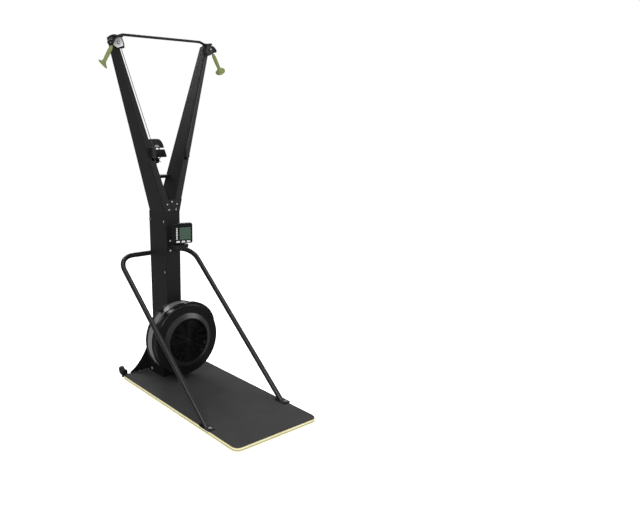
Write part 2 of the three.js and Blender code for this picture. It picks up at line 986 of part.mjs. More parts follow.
// Bent tube that braces the column to the platform's sides, on bolted foot plates
function makeHoop() {
  const footTop = standing + hoop.footThickness;
  const y = column.rear + gap + hoop.radius;
  const top = at(hoopX, y, hoop.topHeight);
  const foot = at(hoopX, hoopFootY, footTop + gap);
  const below = foot.clone().addScaledVector(foot.clone().sub(top).normalize(), hoop.radius * 2);
  const mirror = (p) => at(-p.x, p.y, p.z);
  const route = new Route([mirror(below), mirror(top), top, below], hoop.bendRadius, 5);
  const tube = pipe(route, hoop.radius, hoop.radius - hoop.wall, smallSides);
  const trim = block(
    [-board.width, board.width],
    [hoopFootY - board.width, hoopFootY + board.width],
    [footTop + gap - board.width, footTop + gap],
  );
  place(machine, "support_hoop", cut(tube, trim), powderCoat);
  for (const side of [left, right]) {
    const x = [-hoop.footWidth / 2, hoop.footWidth / 2];
    const outline = roundedRectangle(x, [-hoop.footFront, hoop.footBack], hoop.footCorner, 3);
    const plate = slabUp(outline, [0, hoop.footThickness]);
    const head = rodUp(hoop.boltRadius, [0, hoop.footThickness + hoop.boltHeight], boltSides);
    head.translate(0, -hoop.boltFromTube, 0);
    const position = at(side * hoopX, hoopFootY, standing);
    place(machine, "hoop_foot_" + sideName(side), join(plate, head), steel, position);
  }
}

// Fan unit: everything in it is placed about the shaft's axis
const fanUnit = new THREE.Group();
fanUnit.position.z = fan.height;
machine.add(fanUnit);

function makeHousing() {
  const seat = bandRear + gap;
  const flangeInner = fan.outerRadius - fan.flangeDepth;
  const profile = [
    [bearing.flangeRadius + gap, fanRear - fan.wall],
    [flangeInner, fanRear - fan.wall],
    [flangeInner, seat],
    [fan.outerRadius, seat],
    [fan.outerRadius, fanRear - fan.edgeRound],
    [fan.outerRadius - fan.edgeRound, fanRear],
    [bearing.flangeRadius + gap, fanRear],
  ];
  const bossHole = rodBack(bearing.flangeRadius + gap, [fanRear - overrun, columnFront], roundSides);
  const bossX = [-fan.bossWidth / 2, fan.bossWidth / 2];
  const bossY = [fanRear - fan.wall, columnFront - gap];
  const boss = block(bossX, bossY, [-fan.bossDrop, fan.bossRise]);
  const solid = join(turned(profile, fineSides), cut(boss, bossHole));
  place(fanUnit, "housing_rear", solid, mattePlastic);
}

// A wedge of the ring from one angle to the next, measured from the top towards the left hand
function wedge(from, to, reach, y) {
  const steps = Math.max(1, Math.ceil((to - from) / damper.stepAngle));
  const points = [[0, 0]];
  for (let i = 0; i <= steps; i += 1) {
    const angle = THREE.MathUtils.degToRad(from + ((to - from) * i) / steps);
    points.push([-reach * Math.sin(angle), reach * Math.cos(angle)]);
  }
  return slabBack(polygon(points), y);
}

function ringSlots(count, length, middle, reach, skip) {
  const pitch = 360 / count;
  const openings = [];
  const width = 2 * reach * Math.sin(THREE.MathUtils.degToRad((pitch * band.slotShare) / 2));
  const y = [middle - length / 2, middle + length / 2];
  for (let i = 0; i < count; i += 1) {
    const angle = pitch * (i + 0.5);
    if (skip(angle)) continue;
    const opening = block([-width / 2, width / 2], y, [reach / 2, reach]);
    openings.push(opening.rotateY(-THREE.MathUtils.degToRad(angle)));
  }
  return openings;
}

function makeBand() {
  const front = coverRear + gap;
  const ring = turned(
    [
      [bandInner, front],
      [bandOuter, front],
      [bandOuter, bandRear],
      [bandInner, bandRear],
    ],
    fineSides,
  );
  const slack = THREE.MathUtils.radToDeg((damper.leverWidth / 2 + damper.slotSlack) / bandInner);
  const from = damper.restAngle - slack;
  const to = damper.restAngle + damper.travelAngle + slack;
  const middle = (front + bandRear) / 2;
  const reach = fan.outerRadius + overrun;
  const half = damper.leverThickness / 2 + damper.slotSlack / 2;
  const track = wedge(from, to, reach, [middle - half, middle + half]);
  const near = (angle) => angle > from - slack && angle < to + slack;
  const openings = ringSlots(band.slotCount, band.slotLength, middle, reach, near);
  place(fanUnit, "screen_band", cut(ring, track, ...openings), perforatedSteel);
}

// Lever ring that closes the screen's openings as it turns
function makeDamper() {
  const front = coverRear + damper.edge;
  const middle = (coverRear + gap + bandRear) / 2;
  const ring = turned(
    [
      [damperInner, front],
      [damperOuter, front],
      [damperOuter, bandRear],
      [damperInner, bandRear],
    ],
    fineSides,
  );
  const reach = damperOuter + overrun;
  const openings = ringSlots(band.slotCount, damper.slotLength, middle, reach, () => false);
  const lever = block(
    [-damper.leverWidth / 2, damper.leverWidth / 2],
    [middle - damper.leverThickness / 2, middle + damper.leverThickness / 2],
    [damperInner, bandOuter + damper.leverRise + gap],
  );
  const knobX = [-damper.knobWidth / 2, damper.knobWidth / 2];
  const knobBase = bandOuter + damper.leverRise;
  const knobZ = [knobBase, knobBase + damper.knobHeight];
  const grip = slabBack(roundedRectangle(knobX, knobZ, damper.knobCorner, 3), [
    middle - damper.knobDepth / 2,
    middle + damper.knobDepth / 2,
  ]);
  const turn = -THREE.MathUtils.degToRad(damper.restAngle);
  const arc = cut(ring, ...openings);
  place(fanUnit, "damper_ring", join(arc, lever.rotateY(turn), grip.rotateY(turn)), glossPlastic);
}

// Front cover with its bevelled collar and the raised lip at the upper right
function makeCover() {
  const rim = fan.outerRadius + fan.rimProud;
  const inside = fan.outerRadius - fan.recess - fan.wall;
  const collarFront = coverFront - fan.bevelProud;
  const profile = [
    [fan.outerRadius, coverRear],
    [fan.outerRadius, coverRear - fan.ridgeWidth],
    [fan.outerRadius - fan.recess, coverRear - fan.ridgeWidth - fan.recess],
    [fan.outerRadius - fan.recess, coverFront + fan.rimWidth + fan.recess],
    [rim, coverFront + fan.rimWidth],
    [rim, coverFront + fan.edgeRound],
    [rim - fan.edgeRound, coverFront],
    [bevelOuter, coverFront],
    [bevelInner, collarFront],
    [bevelInner - fan.lipWidth, collarFront],
    [bevelInner - fan.lipWidth, collarFront + fan.wall],
    [bevelInner - fan.lipWidth / 2, collarFront + fan.wall],
    [bevelOuter, coverFront + fan.wall],
    [inside, coverFront + fan.wall],
    [inside, coverRear],
  ];
  const root = rim - fan.wall;
  const crest = [];
  const foot = [];
  for (let i = 0; i <= lip.steps; i += 1) {
    const share = i / lip.steps;
    const angle = 2 * Math.PI * THREE.MathUtils.lerp(lip.startShare, lip.endShare, share);
    const radius = fan.outerRadius + lip.height * Math.sin(Math.PI * share) ** lip.fullness;
    crest.push([radius * Math.sin(angle), radius * Math.cos(angle)]);
    foot.unshift([root * Math.sin(angle), root * Math.cos(angle)]);
  }
  const hoodFront = coverFront + lip.back;
  const hood = slabBack(polygon([...crest, ...foot]), [hoodFront, hoodFront + lip.width]);
  place(fanUnit, "front_cover", join(turned(profile, fineSides), hood), glossPlastic);
}

// Open grille of rings and spokes behind the collar
const grilleFront = coverFront - fan.bevelProud + fan.wall + gap;

function makeGrille() {
  const front = grilleFront;
  const rear = grilleFront + grille.thickness;
  const rim = bevelInner - fan.lipWidth / 2 - gap;
  const hoopBar = (inner, outer, sides) =>
    turned(
      [
        [inner, front],
        [outer, front],
        [outer, rear],
        [inner, rear],
      ],
      sides,
    );
  const pieces = [hoopBar(rim - grille.rimWidth, rim, fineSides)];
  for (let i = 1; i <= grille.ringCount; i += 1) {
    const outer = grille.hubRadius + i * grille.ringPitch;
    pieces.push(hoopBar(outer - grille.barWidth, outer, fineSides / 2));
  }
  pieces.push(rodBack(grille.hubRadius, [front, rear], roundSides));
  for (let i = 0; i < grille.spokeCount; i += 1) {
    const spoke = block(
      [-grille.barWidth / 2, grille.barWidth / 2],
      [front, rear],
      [grille.hubRadius / 2, rim - grille.rimWidth / 2],
    );
    pieces.push(spoke.rotateY((2 * Math.PI * i) / grille.spokeCount));
  }
  place(fanUnit, "grille", join(...pieces), glossPlastic);
}

// Fan wheel: back disc, front ring and swept blades on a hub
function makeRotor() {
  const bore = shaft.radius + shaft.boreSlack;
  const radius = rotorRadius;
  const discFront = rotorRear - rotor.discThickness;
  const disc = turned(
    [
      [bore, discFront],
      [radius, discFront],
      [radius, rotorRear],
      [bore, rotorRear],
    ],
    rotorSides,
  );
  const hub = turned(
    [
      [bore, rotorRear - rotor.hubLength],
      [rotor.hubRadius / 2, rotorRear - rotor.hubLength],
      [rotor.hubRadius, discFront],
      [rotor.hubRadius, rotorRear],
      [bore, rotorRear],
    ],
    roundSides,
  );
  const ring = turned(
    [
      [radius - rotor.ringWidth, rotorFront],
      [radius, rotorFront],
      [radius, rotorFront + rotor.discThickness],
      [radius - rotor.ringWidth, rotorFront + rotor.discThickness],
    ],
    rotorSides,
  );
  const half = rotor.bladeThickness / 2;
  const tip = radius - rotor.bladeInset;
  const blades = [];
  for (let i = 0; i < rotor.bladeCount; i += 1) {
    const start = (2 * Math.PI * i) / rotor.bladeCount;
    const arc = (offset) =>
      [0, 0.5, 1].map((share) => {
        const reach = THREE.MathUtils.lerp(radius - rotor.bladeLength, tip, share);
        const angle = start + rotor.bladeLean * share * share;
        const x = reach * Math.sin(angle) + offset * Math.cos(start);
        return [x, reach * Math.cos(angle) - offset * Math.sin(start)];
      });
    const outline = [...arc(-half), ...arc(half).reverse()];
    const y = [rotorFront + rotor.discThickness / 2, rotorRear - rotor.discThickness / 2];
    blades.push(slabBack(polygon(outline), y));
  }
  place(fanUnit, "fan_wheel", join(disc, hub, ring, ...blades), mattePlastic);
  const shaftFront = grilleFront + grille.thickness + shaft.frontGap;
  const axle = rodBack(shaft.radius, [shaftFront, column.rear - shaft.rearInset], roundSides);
  place(fanUnit, "fan_shaft", axle, steel);
}

// Bearings in the column's front and rear walls
function makeBearings() {
  const bore = shaft.radius + shaft.boreSlack;
  const ring = (face, sign) =>
    turned(
      [
        [bore, face],
        [bearing.flangeRadius, face],
        [bearing.flangeRadius, face + sign * bearing.flangeWidth],
        [bearing.radius, face + sign * bearing.flangeWidth],
        [bearing.radius, face + sign * bearing.width],
        [bore, face + sign * bearing.width],
      ],
      roundSides,
    );
  place(fanUnit, "bearing_front", ring(columnFront - gap - bearing.flangeWidth, 1), steel);
  const rearFace = column.rear - column.wall - gap;
  place(fanUnit, "bearing_rear", ring(rearFace, -1), steel);
}

function drumY(side) {
  return columnFront + drum.inset + (side === left ? 0 : drum.pitch);
}

function makeDrum(side) {
  const bore = shaft.radius + shaft.boreSlack;
  const half = drum.width / 2;
  const profile = [
    [bore, -half],
    [drum.flangeRadius, -half],
    [drum.flangeRadius, drum.flangeWidth - half],
    [drum.radius, drum.flangeWidth - half],
    [drum.radius, half - drum.flangeWidth],
    [drum.flangeRadius, half - drum.flangeWidth],
    [drum.flangeRadius, half],
    [bore, half],
  ];
  const position = at(0, drumY(side), 0);
  place(fanUnit, "cord_drum_" + sideName(side), turned(profile, roundSides), steel, position);
}

// Handle units at the arms' tops. In each, +X points outboard and +Z up from the sheave's pin
const slant = THREE.MathUtils.degToRad(handlePull.slantAngle);
const outward = THREE.MathUtils.degToRad(swivel.outwardAngle);

function onSheave(angle, radius) {
  return at(sheave.pitchRadius + radius * Math.cos(angle), 0, radius * Math.sin(angle));
}

const leave = onSheave(slant, sheave.pitchRadius);
const pullWay = at(Math.sin(slant), 0, -Math.cos(slant));
const handleTop = leave.clone().addScaledVector(pullWay, handlePull.drop);

function unitTurn(side) {
  return side === left ? Math.PI - outward : outward;
}

function makeShell(unit, side) {
  const half = shell.thickness / 2;
  const slot = [-shell.slot / 2, shell.slot / 2];
  const body = slabBack(shareOutline(shellShares, shell), [-half, half]);
  const roomRadius = sheave.flangeRadius + shell.clearance;
  const dome = rodBack(roomRadius, slot, roundSides).translate(sheave.pitchRadius, 0, 0);
  const roomX = [-cord.radius - shell.lipGap, sheave.pitchRadius + roomRadius];
  const room = block(roomX, slot, [-shell.below - overrun, 0]);
  const mouth = block(
    [-shell.mouthWidth / 2, shell.mouthWidth / 2],
    slot,
    [-handlePull.drop - overrun, 0],
  );
  mouth.rotateY(-slant).translate(leave.x, 0, leave.z);
  const pinHole = rodBack(sheave.pinRadius + gap, [-half - overrun, half + overrun]);
  pinHole.translate(sheave.pitchRadius, 0, 0);
  const swivelBottom = shell.above - swivel.pinDepth - gap;
  const swivelHole = rodUp(swivel.pinRadius + gap, [swivelBottom, shell.above + overrun]);
  const solid = cut(body, dome, room, mouth, pinHole, swivelHole);
  place(unit, "pulley_housing_" + sideName(side), solid, mattePlastic);
}

// Shield over the housing's front face, with the sheave's pin through it
function makeCheek(unit, side) {
  const front = -side;
  const face = shell.thickness / 2 + gap;
  const plateFace = face + cheek.thickness;
  const headEnd = plateFace + cheek.headHeight;
  const plate = slabBack(shareOutline(cheekShares, cheek), sided(front, face, plateFace));
  const head = rodBack(cheek.headRadius, sided(front, face, headEnd));
  const pin = rodBack(sheave.pinRadius, sided(front, -face, headEnd));
  const solid = join(
    plate,
    head.translate(sheave.pitchRadius, 0, 0),
    pin.translate(sheave.pitchRadius, 0, 0),
  );
  place(unit, "cheek_plate_" + sideName(side), solid, side === left ? polishedSteel : powderCoat);
}

function makeSheave(unit, side) {
  const half = sheave.width / 2;
  const bore = sheave.pinRadius + sheave.boreSlack;
  const bottom = sheave.pitchRadius - cord.radius - gap;
  const profile = [
    [bore, -half],
    [sheave.flangeRadius, -half],
    [sheave.flangeRadius, -sheave.grooveMouth / 2],
    [bottom, -sheave.grooveFlat / 2],
    [bottom, sheave.grooveFlat / 2],
    [sheave.flangeRadius, sheave.grooveMouth / 2],
    [sheave.flangeRadius, half],
    [bore, half],
  ];
  const position = at(sheave.pitchRadius, 0, 0);
  place(unit, "top_sheave_" + sideName(side), turned(profile, roundSides), mattePlastic, position);
}

// The cord's stretch over the sheave and down to the handle
class OverSheave extends THREE.Curve {
  constructor(steps) {
    super();
    this.steps = steps;
  }

  angle(share) {
    const bend = (share * (this.steps + 1)) / this.steps;
    return THREE.MathUtils.lerp(Math.PI, slant, Math.min(1, bend));
  }

  getPointAt(share) {
    if (share > 1 - 0.5 / (this.steps + 1)) return handleTop.clone();
    return onSheave(this.angle(share), sheave.pitchRadius);
  }

  getTangentAt(share) {
    const angle = this.angle(share);
    return at(Math.sin(angle), 0, -Math.cos(angle));
  }
}

function makeHandleCord(unit, side) {
  const extrudePath = new OverSheave(cord.wrapSteps);
  const shape = ringShape(cord.radius, 0, cord.sides);
  const steps = cord.wrapSteps + 1;
  const geometry = new THREE.ExtrudeGeometry(shape, { steps, extrudePath });
  place(unit, "handle_cord_" + sideName(side), geometry, cordBlack);
}

// Grip with a wide end for the hand's heel, tilted outboard and to the rear
function makeHandle(unit, side) {
  // Radius of each ring, its place down the grip and its part of the end's tilt, both as shares
  const gripShares = [
    [handle.topRadius, 0, 0],
    [handle.shoulderRadius, 0.06, 0],
    [handle.gripRadius, 0.24, 0],
    [handle.gripRadius, 0.5, 0],
    [handle.waistRadius, 0.7, 0],
    [handle.gripRadius, 0.78, 0.3],
    [handle.neckRadius, 0.87, 0.7],
    [handle.endRadius, 0.93, 1],
    [handle.endRadius, 0.96, 1],
    [handle.palmRadius, 1, 1],
  ];
  const endTilt = THREE.MathUtils.degToRad(handle.endAngle);
  const rings = gripShares.map(([radius, share, tiltShare]) => [
    radius,
    share * handle.length,
    tiltShare * endTilt,
  ]);
  rings.unshift([handle.boreRadius, handle.boreDepth, 0], [handle.boreRadius, 0, 0]);
  const towards = side * THREE.MathUtils.degToRad(handle.endTurnAngle);
  const body = fromSolid(toSolid(ringBody(rings, smallSides + 4, towards)));
  const mesh = place(unit, "handle_" + sideName(side), body, oliveGrip);
  mesh.position.copy(handleTop).addScaledVector(pullWay, -gap);
  mesh.rotation.y = -slant;
}

function makeHandleUnit(side) {
  const unit = new THREE.Group();
  unit.position.set(side * swivelX, swivelY, swivelHeight);
  unit.rotation.z = unitTurn(side);
  machine.add(unit);
  makeShell(unit, side);
  makeCheek(unit, side);
  makeSheave(unit, side);
  makeHandleCord(unit, side);
  makeHandle(unit, side);
}

// Fixed bracket on the arm's top: a cap with a plate over the housing, which swivels under it
function makeSwivelBracket(side) {
  const outer = armTopOuter + swivelBracket.capOverhang;
  const inner = outer - swivelBracket.capWidth;
  const front = swivelY - swivelBracket.ahead;
  const rear = armTopRear - swivelBracket.rearInset;
  const plateBottom = swivelHeight + shell.above + swivelBracket.clearance;
  const capTop = armTop + swivelBracket.capRise;
  const profile = polygon([
    [front, plateBottom],
    [armTopFront + gap, plateBottom],
    [armTopFront + gap, armTop + gap],
    [rear, armTop + gap],
    [rear, armTop + swivelBracket.capRearRise],
    [rear - swivelBracket.capSlope, capTop],
    [front + swivelBracket.noseHeight, capTop],
    [front, capTop - swivelBracket.noseHeight],
  ]);
  const cap = slabAcross(profile, sided(side, inner, outer));
  const plateX = sided(side, swivelX - swivelBracket.inboard, inner + swivelBracket.corner * 2);
  const plateY = [front, armTopFront - gap];
  const plateZ = [plateBottom, plateBottom + swivelBracket.plateThickness];
  const plate = slabUp(roundedRectangle(plateX, plateY, swivelBracket.corner, 3), plateZ);
  const pin = rodUp(swivel.pinRadius, [
    swivelHeight + shell.above - swivel.pinDepth,
    plateBottom + swivelBracket.plateThickness / 2,
  ]);
  pin.translate(side * swivelX, swivelY, 0);
  place(machine, "swivel_bracket_" + sideName(side), join(cap, plate, pin), powderCoat);
}

// The long run of each cord: down the arm's front, in at the fairlead, and down to its drum
function driveCordCorners(side) {
  const drumX = -(drum.radius + cord.radius + gap);
  return [
    at(side * swivelX, swivelY, swivelHeight - gap),
    at(side * swivelX, swivelY, swivelHeight - cordTurnDrop),
    ...cordRoute.map(([x, y, z]) => at(side * x, y, z)),
    at(drumX, drumY(side), drumEntryHeight),
    at(drumX, drumY(side), fan.height),
  ];
}

function alongDriveCord(side, radius) {
  const route = new Route(driveCordCorners(side), cord.bendRadius, cord.bendSteps);
  return pipe(route, radius, 0, cord.sides);
}

function makeDriveCord(side) {
  const geometry = alongDriveCord(side, cord.radius);
  place(machine, "drive_cord_" + sideName(side), geometry, cordBlack);
}

// Block on the arm's front that leads the cord into the arm
function makeFairlead(side) {
  const section = armAt(fairlead.bottom);
  const inner = section.inner + fairlead.inboard;
  const x = sided(side, inner, inner + fairlead.width);
  const y = [section.front - gap - fairlead.depth, section.front - gap];
  const body = block(x, y, [fairlead.bottom, fairlead.bottom + fairlead.height]);
  const bore = alongDriveCord(side, fairlead.boreRadius);
  place(machine, "fairlead_" + sideName(side), cut(body, bore), mattePlastic);
}

// Monitor, its tilt yoke and the bracket on the column's front. The unit turns on an upright pin
const monitorUnit = new THREE.Group();
monitorUnit.position.set(turntable.x, turntableY, bracketTop + gap);
monitorUnit.rotation.z = -THREE.MathUtils.degToRad(turntable.restAngle);
machine.add(monitorUnit);

function buttonShape(slack) {
  const halfX = button.width / 2 + slack;
  const halfZ = button.height / 2 + slack;
  return roundedRectangle([-halfX, halfX], [-halfZ, halfZ], halfZ * button.roundness, 5);
}

function makeMonitor() {
  const x = [-monitor.width / 2, monitor.width / 2];
  const z = [monitor.rise, monitor.rise + monitor.height];
  const front = -monitor.ahead;
  const rear = front + monitor.depth;
  const body = slabBack(roundedRectangle(x, z, monitor.corner, 4), [front, rear]);
  const lcdX = [x[0] + monitor.lcdLeft, x[0] + monitor.lcdLeft + monitor.lcdWidth];
  const lcdZ = [z[0] + monitor.lcdBottom, z[0] + monitor.lcdBottom + monitor.lcdHeight];
  const pocket = block(lcdX, [front - overrun, front + monitor.lcdDepth], lcdZ);
  const stripX = [x[0] + monitor.stripLeft, x[0] + monitor.stripLeft + monitor.stripWidth];
  const stripPocket = block(stripX, [front - overrun, front + monitor.stripDepth], lcdZ);
  const buttonX = [0, 1, 2].map((i) => x[0] + button.first + i * button.pitch);
  const wells = buttonX.map((across) => {
    const well = slabBack(buttonShape(gap), [front - overrun, front + button.depth + button.travel]);
    return well.translate(across, 0, z[0] + button.rise);
  });
  const tiltX = [-tilt.width / 2, tilt.width / 2];
  const knuckle = rodAcross(tilt.radius, tiltX).translate(0, 0, tilt.rise);
  const webZ = [tilt.rise - tilt.radius / 2, tilt.rise + tilt.radius / 2];
  const web = block(tiltX, [rear - gap, 0], webZ);
  const bore = rodAcross(tilt.pinRadius + tilt.boreSlack, x).translate(0, 0, tilt.rise);
  const solid = cut(join(body, knuckle, web), pocket, stripPocket, bore, ...wells);
  place(monitorUnit, "monitor_case", solid, glossPlastic);
  const glass = block(
    [lcdX[0] + gap, lcdX[1] - gap],
    [front, front + monitor.lcdDepth - gap],
    [lcdZ[0] + gap, lcdZ[1] - gap],
  );
  place(monitorUnit, "lcd_window", glass, lcdGlass);
  buttonX.forEach((across, i) => {
    const key = slabBack(buttonShape(0), [-button.proud, button.depth - gap]);
    const position = at(across, front, z[0] + button.rise);
    place(monitorUnit, "monitor_button_" + (i + 1), key, whitePlastic, position);
  });
}

// Yoke that turns on the bracket's tray and carries the tilt pin
function makeMonitorYoke() {
  const plateHalf = tilt.width / 2 + gap + tilt.earWidth;
  const plate = block([-plateHalf, plateHalf], [-tilt.radius, tilt.radius], [0, tilt.plateThickness]);
  const stub = rodUp(turntable.pinRadius, [-turntable.pinDepth, gap]);
  const ears = [left, right].map((side) => {
    const span = sided(side, tilt.width / 2 + gap, plateHalf);
    const round = rodAcross(tilt.radius, span).translate(0, 0, tilt.rise);
    return join(round, block(span, [-tilt.radius, tilt.radius], [0, tilt.rise]));
  });
  const pin = rodAcross(tilt.pinRadius, [gap - plateHalf, plateHalf - gap]).translate(0, 0, tilt.rise);
  place(monitorUnit, "monitor_yoke", join(plate, stub, pin, ...ears), powderCoat);
}

function makeMonitorBracket() {
  const rear = columnFront - gap;
  const front = rear - bracket.plateThickness;
  const trayFront = turntableY - bracket.reach;
  const trayBottom = bracketTop - bracket.trayThickness;
  const profile = polygon([
    [trayFront, trayBottom + bracket.chamfer],
    [trayFront + bracket.chamfer, trayBottom],
    [rear, trayBottom],
    [rear, bracketTop],
    [trayFront, bracketTop],
  ]);
  const trayX = turntable.x - bracket.trayLeft;
  const tray = slabAcross(profile, [trayX, trayX + bracket.trayWidth]);
  const plateX = turntable.x - bracket.plateLeft;
  const plateZ = trayBottom - bracket.plateBelow;
  const plateTop = plateZ + bracket.plateHeight;
  const plate = block([plateX, plateX + bracket.plateWidth], [front, rear], [plateZ, plateTop]);
  const heads = [plateTop - bracket.boltInset, plateZ + bracket.boltInset].map((z) => {
    const head = rodBack(bracket.boltRadius, [front - bracket.boltHeight, rear], boltSides);
    return head.translate(plateX + bracket.boltAcross, 0, z);
  });
  const holeBottom = bracketTop - turntable.pinDepth - gap;
  const hole = rodUp(turntable.pinRadius + gap, [holeBottom, bracketTop + overrun]);
  const solid = cut(join(plate, tray, ...heads), hole.translate(turntable.x, turntableY, 0));
  place(machine, "monitor_bracket", solid, powderCoat);
}

// Holder: stem and fork on the tie bar
function makeHolderStem() {
  const foot = tieTop + gap;
  const forkBase = holderPivot - holder.earRadius - gap;
  const flange = rodUp(holder.flangeRadius, [foot, foot + holder.flangeThickness]);
  const stem = rodUp(holder.stemRadius, [foot, forkBase + gap]);
  const yoke = block(
    [-holder.earOuter, holder.earOuter],
    [-holder.earRadius, holder.earRadius],
    [forkBase - holder.flangeThickness, forkBase],
  );
  const ears = [left, right].map((side) => {
    const span = sided(side, holder.earInner, holder.earOuter);
    const round = rodAcross(holder.earRadius, span).translate(0, 0, holderPivot);
    const web = block(span, [-holder.earRadius, holder.earRadius], [forkBase - gap, holderPivot]);
    return join(round, web);
  });
  const bore = rodAcross(holder.screwRadius + holder.boreSlack, [-board.width, board.width]);
  const solid = cut(join(flange, stem, yoke, ...ears), bore.translate(0, 0, holderPivot));
  place(machine, "holder_stem", solid, mattePlastic, at(0, holderY, 0));
}

// Holder's lower half, with its shelf, claws and guide rods
function makeHolderBase() {
  const bottom = holderPivot + holder.bottomRise;
  const split = holderPivot + holder.splitRise;
  const footHalf = holder.baseHalf - holder.shelfThickness;
  const shape = polygon([
    [-footHalf, bottom],
    [footHalf, bottom],
    [holder.baseHalf, bottom + holder.shelfThickness],
    [holder.splitHalf, split],
    [-holder.splitHalf, split],
    [-holder.baseHalf, bottom + holder.shelfThickness],
  ]);
  const body = slabBack(shape, [holderFront, holderRear]);
  const shelfFront = holderFront - holder.lipReach;
  const shelf = block(
    [-holder.splitHalf, holder.splitHalf],
    [shelfFront, holderFront + gap],
    [bottom, bottom + holder.shelfThickness],
  );
  const claws = [left, right].map((side) =>
    block(
      sided(side, holder.clawX, holder.clawX + holder.clawWidth),
      [shelfFront, shelfFront + holder.lipThickness],
      [bottom, bottom + holder.lipHeight],
    ),
  );
  const rodTop = holderPivot + holder.rodRise;
  const rods = [left, right].map((side) => {
    const rod = rodUp(holder.rodRadius, [split - holder.rodDepth, rodTop]);
    return rod.translate(side * holder.rodX, holderY - holder.rodAhead, 0);
  });
  const lugX = [-holder.earInner + gap, holder.earInner - gap];
  const lug = rodAcross(holder.lugRadius, lugX).translate(0, holderY, holderPivot);
  const lugWeb = block(
    lugX,
    [holderY - holder.lugRadius, holderRear],
    [holderPivot, bottom + holder.shelfThickness],
  );
  const bore = rodAcross(holder.screwRadius + holder.boreSlack, [-board.width, board.width]);
  bore.translate(0, holderY, holderPivot);
  const solid = cut(join(body, shelf, lug, lugWeb, ...claws, ...rods), bore);
  place(machine, "holder_base", solid, mattePlastic);
}

// Holder's sliding upper jaw, which falls away on its right
function makeHolderJaw() {
  const low = holderPivot + holder.jawRise;
  const top = holderPivot + holder.topRise;
  const half = holder.jawHalf;
  const shape = new THREE.Shape();
  shape.moveTo(-half, low);
  shape.lineTo(half, low);
  shape.quadraticCurveTo(half * shoulder.bulgeShare, top, half * shoulder.crownShare, top);
  shape.lineTo(holder.jawCorner - half, top);
  shape.quadraticCurveTo(-half, top, -half, top - holder.jawCorner);
  shape.closePath();
  const body = slabBack(shape, [holderFront, holderRear]);
  const boreTop = holderPivot + holder.rodRise + holder.jawDrop + gap;
  const bores = [left, right].map((side) => {
    const bore = rodUp(holder.rodRadius + holder.boreSlack, [low - overrun, boreTop]);
    return bore.translate(side * holder.rodX, holderY - holder.rodAhead, 0);
  });
  const heads = [left, right].map((side) => {
    const y = [holderFront - holder.screwHeadHeight, holderFront + gap];
    const head = rodBack(holder.screwHeadRadius, y, boltSides);
    return head.translate(side * holder.screwHeadX, 0, holderPivot + holder.screwHeadRise);
  });
  place(machine, "holder_jaw", join(cut(body, ...bores), ...heads), mattePlastic);
}

// Wing knob and its screw through the holder's fork
function makeHolderKnob() {
  const start = holder.earOuter + gap;
  const hubEnd = start + knob.hubLength;
  const wingEnd = start + knob.wingReach;
  const hub = rodAcross(knob.hubRadius, [start, hubEnd]);
  const screw = rodAcross(holder.screwRadius, [-holder.earOuter - gap, start + gap]);
  const wings = [left, right].map((side) => {
    const root = side * knob.hubRadius;
    const tip = side * (knob.hubRadius + knob.wingHeight);
    const shape = new THREE.Shape();
    shape.moveTo(start + gap, root * knob.rootShare);
    shape.lineTo(hubEnd, root * knob.rootShare);
    shape.quadraticCurveTo(start + knob.wingReach * knob.bendShare, root, wingEnd, tip);
    shape.lineTo(wingEnd - knob.wingThickness, tip);
    shape.quadraticCurveTo(hubEnd, root * knob.bulgeShare, start + gap, root * knob.backShare);
    shape.closePath();
    return slabBack(shape, [-knob.wingThickness / 2, knob.wingThickness / 2]);
  });
  const position = at(0, holderY, holderPivot);
  place(machine, "holder_knob", join(hub, screw, ...wings), mattePlastic, position);
}

makePlatform();
makeColumn();
makePedestal();
makeJunction();
makeTie();
makeCrossbar();
makeHoop();
makeHousing();
makeBand();
makeDamper();
makeCover();
makeGrille();
makeRotor();
makeBearings();
makeMonitor();
makeMonitorYoke();
makeMonitorBracket();
makeHolderStem();
makeHolderBase();
makeHolderJaw();
makeHolderKnob();
for (const side of [left, right]) {
  makeWheel(side);
  makeGusset(side);
  makeArm(side);
  makeDrum(side);
  makeHandleUnit(side);
  makeSwivelBracket(side);
  makeDriveCord(side);
  makeFairlead(side);
}

export default machine;
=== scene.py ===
import json
import math

import bmesh
import bpy
from mathutils import Matrix, Vector


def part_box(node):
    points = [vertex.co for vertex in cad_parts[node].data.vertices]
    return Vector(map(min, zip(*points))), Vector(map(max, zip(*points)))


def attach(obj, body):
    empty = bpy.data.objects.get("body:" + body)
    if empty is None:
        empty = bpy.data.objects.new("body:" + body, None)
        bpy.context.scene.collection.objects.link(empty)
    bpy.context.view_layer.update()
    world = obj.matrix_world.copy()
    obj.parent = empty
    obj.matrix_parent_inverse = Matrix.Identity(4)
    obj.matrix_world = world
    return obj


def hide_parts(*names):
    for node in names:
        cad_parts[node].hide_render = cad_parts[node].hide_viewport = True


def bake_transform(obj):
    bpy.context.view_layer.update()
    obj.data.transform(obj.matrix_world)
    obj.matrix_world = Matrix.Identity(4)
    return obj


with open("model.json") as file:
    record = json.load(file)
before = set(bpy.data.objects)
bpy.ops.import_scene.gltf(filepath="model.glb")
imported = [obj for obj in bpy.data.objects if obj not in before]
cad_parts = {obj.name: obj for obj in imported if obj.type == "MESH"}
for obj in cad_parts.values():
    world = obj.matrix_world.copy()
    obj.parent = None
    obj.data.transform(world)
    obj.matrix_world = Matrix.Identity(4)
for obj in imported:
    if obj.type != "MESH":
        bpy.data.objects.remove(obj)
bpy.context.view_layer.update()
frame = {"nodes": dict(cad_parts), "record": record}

# Lengths are metres. The user stands at -Y and looks at the column at +Y, with +X on the right.

LEFT = -1
RIGHT = 1
SIDES = (LEFT, RIGHT)
SIDE_NAME = {LEFT: "left", RIGHT: "right"}

